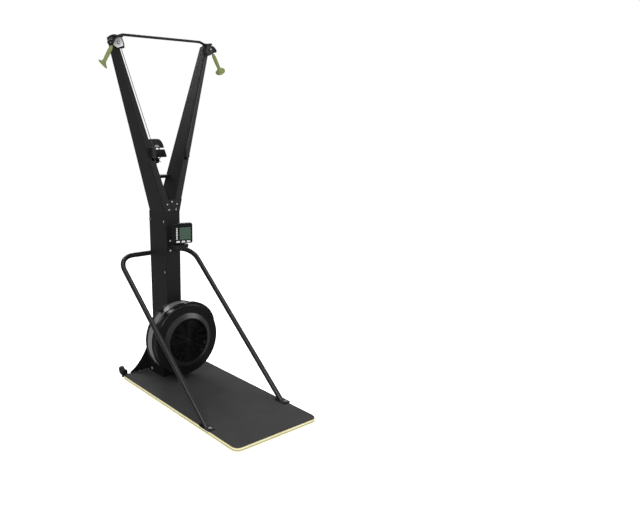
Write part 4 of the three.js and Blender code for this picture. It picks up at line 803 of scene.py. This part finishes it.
def make_cover():
    """The fan's front cover, with a skin over its bevelled collar that is lighter and glossier than the
    cover, a painted highlight.
    """
    inner_front = COVER_FRONT + COVER_WALL
    shoulder = (COVER_RADIUS - COVER_SHOULDER, COVER_FRONT + COVER_SHOULDER_DEPTH)
    corner = (COVER_RADIUS - COVER_CORNER, COVER_FRONT + COVER_CORNER)
    nose = (COLLAR_INNER + COLLAR_NOSE_WIDTH, COLLAR_FRONT + COLLAR_NOSE_DEPTH)
    bm = lathe([
        *((r, COVER_REAR - d) for r, d in COVER_LIP),
        *((r, COVER_FRONT + d) for r, d in COVER_SLOPE),
        *arc(shoulder, COVER_SHOULDER, 60, 0, steps=4),
        *arc(corner, COVER_CORNER, 0, -90, steps=8),
        (FACE_RADIUS, COVER_FRONT + FACE_DEPTH),
        (COLLAR_OUTER + COLLAR_FOOT_WIDTH, COVER_FRONT + COLLAR_FOOT_DEPTH),
        (COLLAR_OUTER, COVER_FRONT - COLLAR_RISE),
        nose,
        (COLLAR_INNER, COLLAR_FRONT),
        (COLLAR_INNER - COLLAR_LEDGE, COLLAR_FRONT),
        (COLLAR_INNER - COLLAR_LEDGE, COLLAR_FRONT + COVER_WALL),
        (COLLAR_INNER - COLLAR_LEDGE_REAR, COLLAR_FRONT + COVER_WALL),
        (COLLAR_OUTER, inner_front),
        (COVER_BORE, inner_front),
        (COVER_BORE, COVER_REAR),
    ], FINE)
    merge(bm, hood())
    node_piece("front_cover", moved(bm, FAN))
    # A painted highlight: a lighter, glossier skin over the collar, which is part of the same cover.
    collar = lathe([
        (COLLAR_OUTER + COLLAR_SKIN_LAP, COVER_FRONT - COLLAR_RISE - COLLAR_SKIN),
        (nose[0], nose[1] - COLLAR_SKIN),
        (COLLAR_INNER + COLLAR_SKIN_LAP, COLLAR_FRONT),
        (nose[0], COLLAR_FRONT + COLLAR_SKIN_NOSE_SINK),
        (COLLAR_OUTER, COVER_FRONT + COLLAR_SKIN_SINK),
    ], FINE)
    piece("cover_collar_painted_highlight", moved(collar, FAN), NODE_BODY["front_cover"], "gloss_plastic", material=COLLAR_PAINTED_HIGHLIGHT)


def hood():
    """The raised lip over the cover's rim, from the top round to the right."""
    outer = []
    inner = []
    for k in range(HOOD_STEPS + 1):
        share = k / HOOD_STEPS
        angle = 2 * math.pi * (HOOD_START_SHARE + HOOD_SWEEP_SHARE * share)
        radius = HOOD_RADIUS + HOOD_HEIGHT * math.sin(math.pi * share) ** HOOD_POWER
        outer.append((radius * math.sin(angle), radius * math.cos(angle)))
        inner.append((HOOD_FOOT * math.sin(angle), HOOD_FOOT * math.cos(angle)))
    front, rear = (COVER_FRONT + d for d in HOOD_DEPTHS)
    return slab(outer + inner[::-1], front, rear, "XZ", HOOD_EDGE, segments=3)


GRILLE_RIM = 0.006
WIRE_RADIUS = 0.0011
WIRE_START = 0.012
WIRE_PITCH = 0.0098
WIRE_COUNT = 13
GRILLE_HUB_FACE = 0.011
GRILLE_HUB_RADIUS = 0.0135
GRILLE_HUB_FACE_DEPTH = 0.0002
GRILLE_HUB_CORNER_DEPTH = 0.0014
SPOKE_COUNT = 12
SPOKE_HALF = 0.0016
SPOKE_DEPTH = 0.0008
SPOKE_START = 0.012
SPOKE_END_GAP = 0.004
SPOKE_EDGE = 0.0004


def make_grille():
    """Round wires between a hub and a rim, with flat spokes behind them."""
    low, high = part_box("grille")
    front, rear = low.y, high.y
    rim = (high.x - low.x) / 2
    bm = flat_ring((rim - GRILLE_RIM, rim), (front, rear), FINE)
    section = circle(WIRE_RADIUS, WIRE_SIDES)
    for i in range(WIRE_COUNT):
        radius = WIRE_START + i * WIRE_PITCH
        merge(bm, lathe([(radius + u, front + WIRE_RADIUS + v) for u, v in section], RING))
    merge(bm, lathe([
        (0, front),
        (GRILLE_HUB_FACE, front + GRILLE_HUB_FACE_DEPTH),
        (GRILLE_HUB_RADIUS, front + GRILLE_HUB_CORNER_DEPTH),
        (GRILLE_HUB_RADIUS, rear),
        (0, rear),
    ], ROUND))
    depths = (front + SPOKE_DEPTH, rear)
    reach = (SPOKE_START, rim - SPOKE_END_GAP)
    for a in turns(SPOKE_COUNT):
        bar = box(about(0, SPOKE_HALF), depths, reach, SPOKE_EDGE)
        merge(bm, moved(bar, Matrix.Rotation(a, 4, "Y")))
    node_piece("grille", moved(bm, FAN))


# The damper's angles are in degrees from the top, towards the left
DAMPER_REST = 34.5
DAMPER_TRAVEL = 78
TRACK_MARGIN = 4.4

BAND_FRONT = 0.3223
BAND_REAR = 0.376
BAND_RADIUS = 0.2295
BAND_THICKNESS = 0.0008
BAND_ROWS = 7
BAND_COLUMNS = 168
HOLE_SIDES = 8
HOLE_SHARE = 0.2
HOLE_WELD = 1e-5
BAND_HEM_WIDTH = 0.002
BAND_HEM_INSIDE = 0.002
BAND_HEM_OUTSIDE = 0.0004


def make_band():
    """The screen: rows of round holes in a steel strip, with the lever's track left open."""
    inner, outer = BAND_RADIUS - BAND_THICKNESS, BAND_RADIUS
    depth = (BAND_REAR - BAND_FRONT) / BAND_ROWS
    step = 2 * math.pi / BAND_COLUMNS
    track_start = math.radians(DAMPER_REST - TRACK_MARGIN)
    track_end = math.radians(DAMPER_REST + DAMPER_TRAVEL + TRACK_MARGIN)
    track_row = BAND_ROWS // 2
    bm = bmesh.new()
    for start in turns(BAND_COLUMNS):
        middle = start + step / 2
        for row in range(BAND_ROWS):
            if row == track_row and track_start < middle < track_end:
                continue
            rim, ring = band_cell(middle, step, BAND_FRONT + row * depth, depth)
            for radius, flip in ((outer, False), (inner, True)):
                outside = [band_corner(bm, a, y, radius) for a, y in rim]
                inside = [band_corner(bm, a, y, radius) for a, y in ring]
                for k in range(HOLE_SIDES):
                    n = (k + 1) % HOLE_SIDES
                    quad = (outside[k], outside[n], inside[n], inside[k])
                    bm.faces.new(quad[::-1] if flip else quad)
    bmesh.ops.remove_doubles(bm, verts=bm.verts, dist=HOLE_WELD)
    hem = (inner - BAND_HEM_INSIDE, outer + BAND_HEM_OUTSIDE)
    for y in (BAND_FRONT, BAND_REAR - BAND_HEM_WIDTH):
        merge(bm, flat_ring(hem, (y, y + BAND_HEM_WIDTH), FINE))
    node_piece("screen_band", moved(bm, FAN))


def band_cell(middle, step, start, depth):
    """One cell of the screen as (angle, depth) points: its square border, and the hole in it."""
    rim = []
    ring = []
    for k in range(HOLE_SIDES):
        t = 2 * math.pi * (k + 0.5) / HOLE_SIDES
        u, v = math.cos(t), math.sin(t)
        reach = 0.5 / max(abs(u), abs(v))
        rim.append((middle + u * reach * step, start + depth * (0.5 + v * reach)))
        ring.append((middle + u * HOLE_SHARE * step, start + depth * (0.5 + v * HOLE_SHARE)))
    return rim, ring


def band_corner(bm, angle, y, radius):
    return bm.verts.new((-radius * math.sin(angle), y, radius * math.cos(angle)))


DAMPER_RADII = (0.2214, 0.2254)
# The lever and its knob, drawn at the top: heights are over the fan's axis, and depths to either side
LEVER = {"foot_half": 0.013, "foot": 0.222, "top_half": 0.010, "top": 0.2498}
LEVER_CORNER = 0.002
LEVER_DEPTH = 0.003
LEVER_EDGE = 0.0008
KNOB = {"foot_half": 0.021, "foot": 0.2495, "top_half": 0.018, "top": 0.2655}
KNOB_CORNERS = [0.003, 0.003, 0.007, 0.007]
KNOB_DEPTH = 0.017
KNOB_EDGE = 0.003


def make_damper():
    """The ring inside the screen, and the lever and knob that turn it."""
    middle = (BAND_FRONT + BAND_REAR) / 2
    ring = flat_ring(DAMPER_RADII, (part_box("damper_ring")[0].y, BAND_REAR), FINE)
    node_piece("damper_ring", moved(ring, FAN), SCREEN)
    knob_outline = rounded(trapezoid(**KNOB), KNOB_CORNERS, steps=5)
    knob = slab(knob_outline, *about(middle, KNOB_DEPTH), "XZ", KNOB_EDGE, segments=3)
    lever_outline = rounded(trapezoid(**LEVER), LEVER_CORNER, steps=3)
    merge(knob, slab(lever_outline, *about(middle, LEVER_DEPTH), "XZ", LEVER_EDGE))
    place = FAN @ Matrix.Rotation(-math.radians(DAMPER_REST), 4, "Y")
    piece("damper_knob", moved(knob, place), NODE_BODY["damper_ring"], "matte_plastic", material=SHELL)


HOUSING_REAR = 0.4029
HOUSING_WALL = 0.004
HOUSING_BORE = 0.0243
HOUSING_SEAT_GAP = 0.0003
HOUSING_INNER = 0.221
# The rim from the band's seat to the rear, as radius and depth behind the seat
HOUSING_RIM = [(0.234, 0), (0.2345, 0.002), (0.2345, 0.009), (0.2325, 0.012)]
HOUSING_RADIUS = 0.2325
HOUSING_WAIST = 0.009
HOUSING_CORNER = 0.0075
BLOCK_HALF = 0.048
BLOCK_HEIGHTS = [(-0.06, -0.028), (0.028, 0.18)]
BLOCK_SINK = 0.002
BLOCK_EDGE = 0.001


def make_housing():
    """The fan's rear shell, with two blocks between it and the column."""
    rear = HOUSING_REAR
    seat = BAND_REAR + HOUSING_SEAT_GAP
    inner_rear = rear - HOUSING_WALL
    corner = (HOUSING_RADIUS - HOUSING_CORNER, rear - HOUSING_CORNER)
    bm = lathe([
        (HOUSING_BORE, inner_rear),
        (HOUSING_INNER, inner_rear),
        (HOUSING_INNER, seat),
        *((r, seat + d) for r, d in HOUSING_RIM),
        (HOUSING_RADIUS, rear - HOUSING_WAIST),
        *arc(corner, HOUSING_CORNER, 0, 90, steps=6),
        (HOUSING_BORE, rear),
    ], FINE)
    depths = (rear - BLOCK_SINK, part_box("housing_rear")[1].y)
    for heights in BLOCK_HEIGHTS:
        merge(bm, box(about(0, BLOCK_HALF), depths, heights, BLOCK_EDGE))
    node_piece("housing_rear", moved(bm, FAN))


ROTOR_BORE = 0.0084
ROTOR_PLATE = 0.003
HUB_LENGTH = 0.046
HUB_NOSE = 0.015
HUB_ROOT = 0.030
SHROUD_WIDTH = 0.014
BLADE_COUNT = 20
BLADE_STEPS = 6
BLADE_ROOT = 0.096
BLADE_TIP_GAP = 0.001
BLADE_SWEEP = 0.3
BLADE_HALF = 0.001
BLADE_SINK = 0.0015


def make_rotor():
    """The fan wheel: a rear plate with a hub, curved blades and a ring over their front tips."""
    low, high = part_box("fan_wheel")
    front, rear = low.y, high.y
    radius = (high.x - low.x) / 2
    plate = rear - ROTOR_PLATE
    nose = rear - HUB_LENGTH
    bm = flat_ring((ROTOR_BORE, radius), (plate, rear), FINE)
    hub = [(ROTOR_BORE, nose), (HUB_NOSE, nose), (HUB_ROOT, plate), (HUB_ROOT, rear), (ROTOR_BORE, rear)]
    merge(bm, lathe(hub, ROUND))
    merge(bm, flat_ring((radius - SHROUD_WIDTH, radius), (front, front + ROTOR_PLATE), FINE))
    for start in turns(BLADE_COUNT):
        face = []
        back = []
        off = Vector((math.cos(start), -math.sin(start))) * BLADE_HALF
        for k in range(BLADE_STEPS + 1):
            share = k / BLADE_STEPS
            r = BLADE_ROOT + (radius - BLADE_TIP_GAP - BLADE_ROOT) * share
            a = start + BLADE_SWEEP * share * share
            along = Vector((r * math.sin(a), r * math.cos(a)))
            face.append(tuple(along - off))
            back.append(tuple(along + off))
        merge(bm, slab(face + back[::-1], front + BLADE_SINK, rear - BLADE_SINK, "XZ"))
    node_piece("fan_wheel", moved(bm, FAN))


# Handle units, drawn in a frame of their own with +X outboard and +Z up

OUTWARD = math.radians(2)
SWIVEL = Vector((0.287, 0.448, 2.052))
SHEAVE_RADIUS = 0.021
SHEAVE = Matrix.Translation((SHEAVE_RADIUS, 0, 0))
CORD_RADIUS = 0.002

# The cord leaves its sheave at this slant, and the grip hangs at the end of this drop
SLANT = math.radians(32)
PULL_WAY = Vector((math.sin(SLANT), 0, -math.cos(SLANT)))
PULL_DROP = 0.033

# The faces' depths before the unit's middle, the size of each kind of screw and the places of the screws
SHELL_FACE = 0.0101
SHIELD_FACE = 0.0123
SHELL_SCREW = (0.0019, 0.0012)
SHELL_SCREWS = [(0.0606, 0.0129), (0.0686, -0.0019)]
CHEEK_SCREW = (0.0028, 0.0012)
CHEEK_SCREW_PLACE = (0.033, 0.0076)

SHELL_EDGE = 0.0014
CHEEK_EDGE = 0.0006
# The cup round the pivot's head, as radius and height over the shield's face
CUP = [(0.0066, 0), (0.0098, 0), (0.0094, 0.0009), (0.0078, 0.0014), (0.0066, 0.0014)]

SHEAVE_HALF = 0.005
SHEAVE_BORE = 0.0044
# The sheave's side from its boss to the bottom of its groove, as radius and depth under the face
SHEAVE_SIDE = [(0.010, 0), (0.0108, 0.0015), (0.0162, 0.0015), (0.0170, 0), (0.0246, 0), (0.025, 0.0004),
               (0.025, 0.001), (0.0187, 0.0027)]


def unit_frame(side):
    """A handle unit's own frame, from where its cord comes up the swivel's axis."""
    turn = math.pi - OUTWARD if side == LEFT else OUTWARD
    return Matrix.Translation((side * SWIVEL.x, SWIVEL.y, SWIVEL.z)) @ Matrix.Rotation(turn, 4, "Z")


def make_shell(side, unit):
    """The pulley housing, with two small screws on the left one and the cheek plate's screw on the right."""
    name = SIDE_NAME[side]
    soften("pulley_housing_" + name, SHELL_EDGE, 3, SHELL)
    if side == LEFT:
        screws = [("shell_screw_left_%d" % i, at) for i, at in enumerate(SHELL_SCREWS)]
        face, size, material = SHELL_FACE, SHELL_SCREW, SCREEN
    else:
        screws = [("cheek_screw_right", CHEEK_SCREW_PLACE)]
        face, size, material = SHIELD_FACE, CHEEK_SCREW, DULL
    outward = unit.to_3x3() @ Vector((0, -side, 0))
    for screw, (x, z) in screws:
        bolt(screw, unit @ Vector((x, 0, z)) + outward * face, outward, size, "swivel_" + name, material)


def make_cheek(side, unit):
    """The shield on the housing's front, with a cup round its screw."""
    name = SIDE_NAME[side]
    # Only the left shield takes the pale painted-reflection steel. The right one is the same plate and keeps
    # its slot's dark colour.
    soften("cheek_plate_" + name, CHEEK_EDGE, 2, SHIELD_PAINTED_REFLECTION if side == LEFT else None)
    cup = lathe([(r, -side * (SHIELD_FACE + h)) for r, h in CUP], SMALL)
    piece("cheek_cup_" + name, moved(cup, unit @ SHEAVE), "swivel_" + name, "matte_plastic")


def make_sheave(side, unit):
    low = [(r, depth - SHEAVE_HALF) for r, depth in SHEAVE_SIDE]
    high = [(r, SHEAVE_HALF - depth) for r, depth in SHEAVE_SIDE]
    profile = [(SHEAVE_BORE, -SHEAVE_HALF), *low, *high[::-1], (SHEAVE_BORE, SHEAVE_HALF)]
    node_piece("top_sheave_" + SIDE_NAME[side], moved(lathe(profile, ROUND), unit @ SHEAVE))


GRIP_LENGTH = 0.118
GRIP_LAP = 0.0003
GRIP_TILT = math.radians(23)
GRIP_TILT_TURN = math.radians(68)
# Each ring of the grip: its radius, and as shares its place down the grip and its part of the end's tilt.
# Between the first two rings is the hole in which the cord ends.
GRIP_RINGS = [
    (0.0026, 0.068, 0), (0.0026, 0, 0), (0.0050, 0, 0), (0.0062, 0.008, 0), (0.0082, 0.030, 0),
    (0.0095, 0.060, 0), (0.0105, 0.130, 0), (0.0110, 0.240, 0), (0.0112, 0.380, 0), (0.0110, 0.500, 0),
    (0.0105, 0.620, 0), (0.0101, 0.700, 0.03), (0.0103, 0.745, 0.14), (0.0112, 0.785, 0.30),
    (0.0138, 0.830, 0.50), (0.0186, 0.868, 0.70), (0.0242, 0.898, 0.86), (0.0284, 0.918, 0.96),
    (0.0298, 0.931, 1), (0.0300, 0.946, 1), (0.0293, 0.964, 1), (0.0270, 0.980, 1), (0.0222, 0.993, 1),
    (0.0140, 0.999, 1), (0.0060, 1, 1),
]


def over_sheave(angle):
    """A point of the cord's line over the sheave, in the unit's frame."""
    return Vector((SHEAVE_RADIUS * (1 + math.cos(angle)), 0, SHEAVE_RADIUS * math.sin(angle)))


def make_handle(side, unit):
    """The grip, whose wide end leans to the rear and a little outboard."""
    turn = Matrix.Rotation(side * GRIP_TILT_TURN, 4, "Z")
    rings = []
    for radius, share, tilt_share in GRIP_RINGS:
        lean = Matrix.Rotation(-GRIP_TILT * tilt_share, 4, "Y")
        place = Matrix.Translation((0, 0, -GRIP_LENGTH * share)) @ turn @ lean
        rings.append([place @ Vector((x, y, 0)) for x, y in circle(radius, ROUND)])
    bm = bmesh.new()
    skin(bm, rings)
    neck = over_sheave(SLANT) + PULL_WAY * (PULL_DROP - GRIP_LAP)
    pull_frame = unit @ Matrix.Translation(neck) @ Matrix.Rotation(-SLANT, 4, "Y")
    node_piece("handle_" + SIDE_NAME[side], moved(bm, pull_frame))


WRAP_STEPS = 24
DROP_STEPS = 7


def make_handle_cord(side, unit):
    """The cord over the sheave and down to the grip."""
    points = [over_sheave(math.pi + (SLANT - math.pi) * k / WRAP_STEPS) for k in range(WRAP_STEPS + 1)]
    leave = points[-1]
    points += [leave + PULL_WAY * PULL_DROP * k / DROP_STEPS for k in range(1, DROP_STEPS + 1)]
    bm = moved(tube(points, CORD_RADIUS, CORD_SIDES), unit)
    shade(bm)
    name = SIDE_NAME[side]
    made = link_mesh("handle_cord_skin_" + name, bm)
    made.data.materials.append(CORD)
    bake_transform(made)
    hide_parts("handle_cord_" + name)


CORD_CURVE = 0.014
CORD_START_GAP = 0.0003
CORD_TURN_DROP = 0.028
DRUM_CORD_X = -0.0323
DRUM_CORD_TOP = 0.420
DRUM_Y = {LEFT: 0.443, RIGHT: 0.483}


def drive_cord_route(side):
    """Down the swivel's axis, along the arm's front, in at the fairlead and down to the drum."""
    return [
        (side * SWIVEL.x, SWIVEL.y, SWIVEL.z - CORD_START_GAP),
        (side * SWIVEL.x, SWIVEL.y, SWIVEL.z - CORD_TURN_DROP),
        (side * 0.118, 0.415, 1.492),
        (side * 0.122, 0.426, 1.462),
        (side * 0.117, 0.462, 1.412),
        (side * 0.027, 0.476, 1.110),
        (DRUM_CORD_X, DRUM_Y[side], DRUM_CORD_TOP),
        (DRUM_CORD_X, DRUM_Y[side], FAN_HEIGHT),
    ]


def make_drive_cord(side):
    route = bent(drive_cord_route(side), CORD_CURVE, steps=6)
    node_piece("drive_cord_" + SIDE_NAME[side], tube(route, CORD_RADIUS, CORD_SIDES))


# Monitor, drawn in a frame of its own with the user at -Y. Places on its face are from the case's left
# edge and foot, and depths are behind its front.

MONITOR_PLACE = (0.026, 0.363, 0.9192)
MONITOR_TURN = math.radians(-15)
CASE_X = (-0.0645, 0.0645)
CASE_Z = (0.011, 0.135)
CASE_FRONT = -0.044
CASE_REAR = -0.011
CASE_LEDGE = 0.0012
CASE_CORNER = 0.012
CASE_EDGE = 0.004
PANEL_MARGIN = 0.005
PANEL_CORNER = 0.008
PANEL_EDGE = 0.0006
PANEL_DEPTHS = (0.0004, 0.003)

KNUCKLE_HALF = 0.018
KNUCKLE_RADII = (0.0034, 0.008)
KNUCKLE_Z = 0.014
LUG_Z = (0.010, 0.018)
LUG_REAR = -0.002
LUG_SINK = 0.002
LUG_EDGE = 0.001

LCD_X = (0.043, 0.1165)
LCD_Z = (0.024, 0.099)
LCD_CORNER = 0.001
LCD_EDGE = 0.0002
LCD_DEPTHS = (-0.0005, 0.001)
BEZEL_MARGIN = 0.002
BEZEL_CORNER = 0.002
BEZEL_EDGE = 0.0005
BEZEL_DEPTHS = (-0.0001, 0.002)

MARK_COUNT = 7
MARK_X = (0.021, 0.031)
MARK_START = 0.0300
MARK_PITCH = 0.0105
MARK_HALF = 0.0036
MARK_CORNER = 0.002
MARK_EDGE = 0.0003
MARK_DEPTHS = (-0.0004, 0.001)

KEY_COUNT = 3
KEY_START = 0.033
KEY_PITCH = 0.034
KEY_Z = 0.012
KEY_HALF_WIDTH = 0.0118
KEY_HALF_HEIGHT = 0.006
KEY_CORNER = 0.0059
KEY_EDGE = 0.0014
KEY_DEPTHS = (-0.0025, 0.0057)


def on_case(x, z, corner, steps, depths, edge, segments=2):
    """A plate with round corners on the monitor's front."""
    front, rear = (CASE_FRONT + depth for depth in depths)
    return slab(rounded(rectangle(x, z), corner, steps), front, rear, "XZ", edge, segments)


def make_monitor():
    unit = Matrix.Translation(MONITOR_PLACE) @ Matrix.Rotation(MONITOR_TURN, 4, "Z")
    outline = rounded(rectangle(CASE_X, CASE_Z), CASE_CORNER, steps=8)
    case = slab(outline, CASE_FRONT + CASE_LEDGE, CASE_REAR, "XZ", CASE_EDGE, segments=4)
    panel_x, panel_z = grown(CASE_X, -PANEL_MARGIN), grown(CASE_Z, -PANEL_MARGIN)
    merge(case, on_case(panel_x, panel_z, PANEL_CORNER, 6, PANEL_DEPTHS, PANEL_EDGE))
    merge(case, box(about(0, KNUCKLE_HALF), (CASE_REAR - LUG_SINK, LUG_REAR), LUG_Z, LUG_EDGE))
    across = Matrix.Translation((0, 0, KNUCKLE_Z)) @ Matrix.Rotation(-math.pi / 2, 4, "Z")
    merge(case, moved(flat_ring(KNUCKLE_RADII, about(0, KNUCKLE_HALF), SMALL), across))
    node_piece("monitor_case", moved(case, unit))
    make_window(unit)
    make_marks(unit)
    for i in range(KEY_COUNT):
        x = about(CASE_X[0] + KEY_START + i * KEY_PITCH, KEY_HALF_WIDTH)
        z = about(CASE_Z[0] + KEY_Z, KEY_HALF_HEIGHT)
        key = on_case(x, z, KEY_CORNER, 8, KEY_DEPTHS, KEY_EDGE, 3)
        node_piece("monitor_button_%d" % (i + 1), moved(key, unit))


def make_window(unit):
    """The window and the frame round it."""
    x = tuple(CASE_X[0] + d for d in LCD_X)
    z = tuple(CASE_Z[0] + d for d in LCD_Z)
    bezel_x, bezel_z = grown(x, BEZEL_MARGIN), grown(z, BEZEL_MARGIN)
    bezel = on_case(bezel_x, bezel_z, BEZEL_CORNER, 4, BEZEL_DEPTHS, BEZEL_EDGE)
    piece("lcd_bezel", moved(bezel, unit), "monitor", "gloss_plastic")
    glass = on_case(x, z, LCD_CORNER, 3, LCD_DEPTHS, LCD_EDGE, 1)
    node_piece("lcd_window", moved(glass, unit))


def make_marks(unit):
    """The column of small marks at the window's left."""
    strip = bmesh.new()
    x = tuple(CASE_X[0] + d for d in MARK_X)
    for i in range(MARK_COUNT):
        z = about(CASE_Z[0] + MARK_START + i * MARK_PITCH, MARK_HALF)
        merge(strip, on_case(x, z, MARK_CORNER, 4, MARK_DEPTHS, MARK_EDGE, 1))
    piece("level_marks", moved(strip, unit), "monitor", "white_plastic")


# Holder between the arms

STEM_EDGE = 0.0008
BASE_EDGE = 0.0025
JAW_EDGE = 0.003
WING_EDGE = 0.0012
# The jaw's front is this far before the rear of the holder's base
JAW_FRONT = 0.0382
CLIP_X = (-0.021, 0.011)
CLIP_Z = (1.4985, 1.5105)
CLIP_CORNER = 0.002
CLIP_EDGE = 0.0003
CLIP_DEPTHS = (-0.0008, 0.0005)


def make_holder():
    soften("holder_stem", STEM_EDGE)
    soften("holder_base", BASE_EDGE, 3)
    soften("holder_jaw", JAW_EDGE, 3)
    soften("holder_knob", WING_EDGE)
    jaw_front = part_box("holder_base")[1].y - JAW_FRONT
    front, rear = (jaw_front + depth for depth in CLIP_DEPTHS)
    outline = rounded(rectangle(CLIP_X, CLIP_Z), CLIP_CORNER, steps=3)
    clip = slab(outline, front, rear, "XZ", CLIP_EDGE, segments=1)
    piece("jaw_clip", clip, NODE_BODY["holder_jaw"], "steel", material=SCREEN)


make_camera()
make_world()
make_floor()
for lamp in LAMPS:
    make_light(*lamp)
bpy.context.scene.view_settings.view_transform = "Standard"

make_platform()
make_frame()
make_frame_bolts()
make_crossbar()
make_hoop()
make_wheels()
make_cover()
make_grille()
make_band()
make_damper()
make_housing()
make_rotor()
for side in SIDES:
    unit = unit_frame(side)
    make_shell(side, unit)
    make_cheek(side, unit)
    make_sheave(side, unit)
    make_handle(side, unit)
    make_handle_cord(side, unit)
    make_drive_cord(side)
make_monitor()
make_holder()

for name, node in frame["nodes"].items():
    node.data.materials.clear()
    node.data.materials.append(MATERIAL_OF_SLOT[NODE_SLOT[name]])
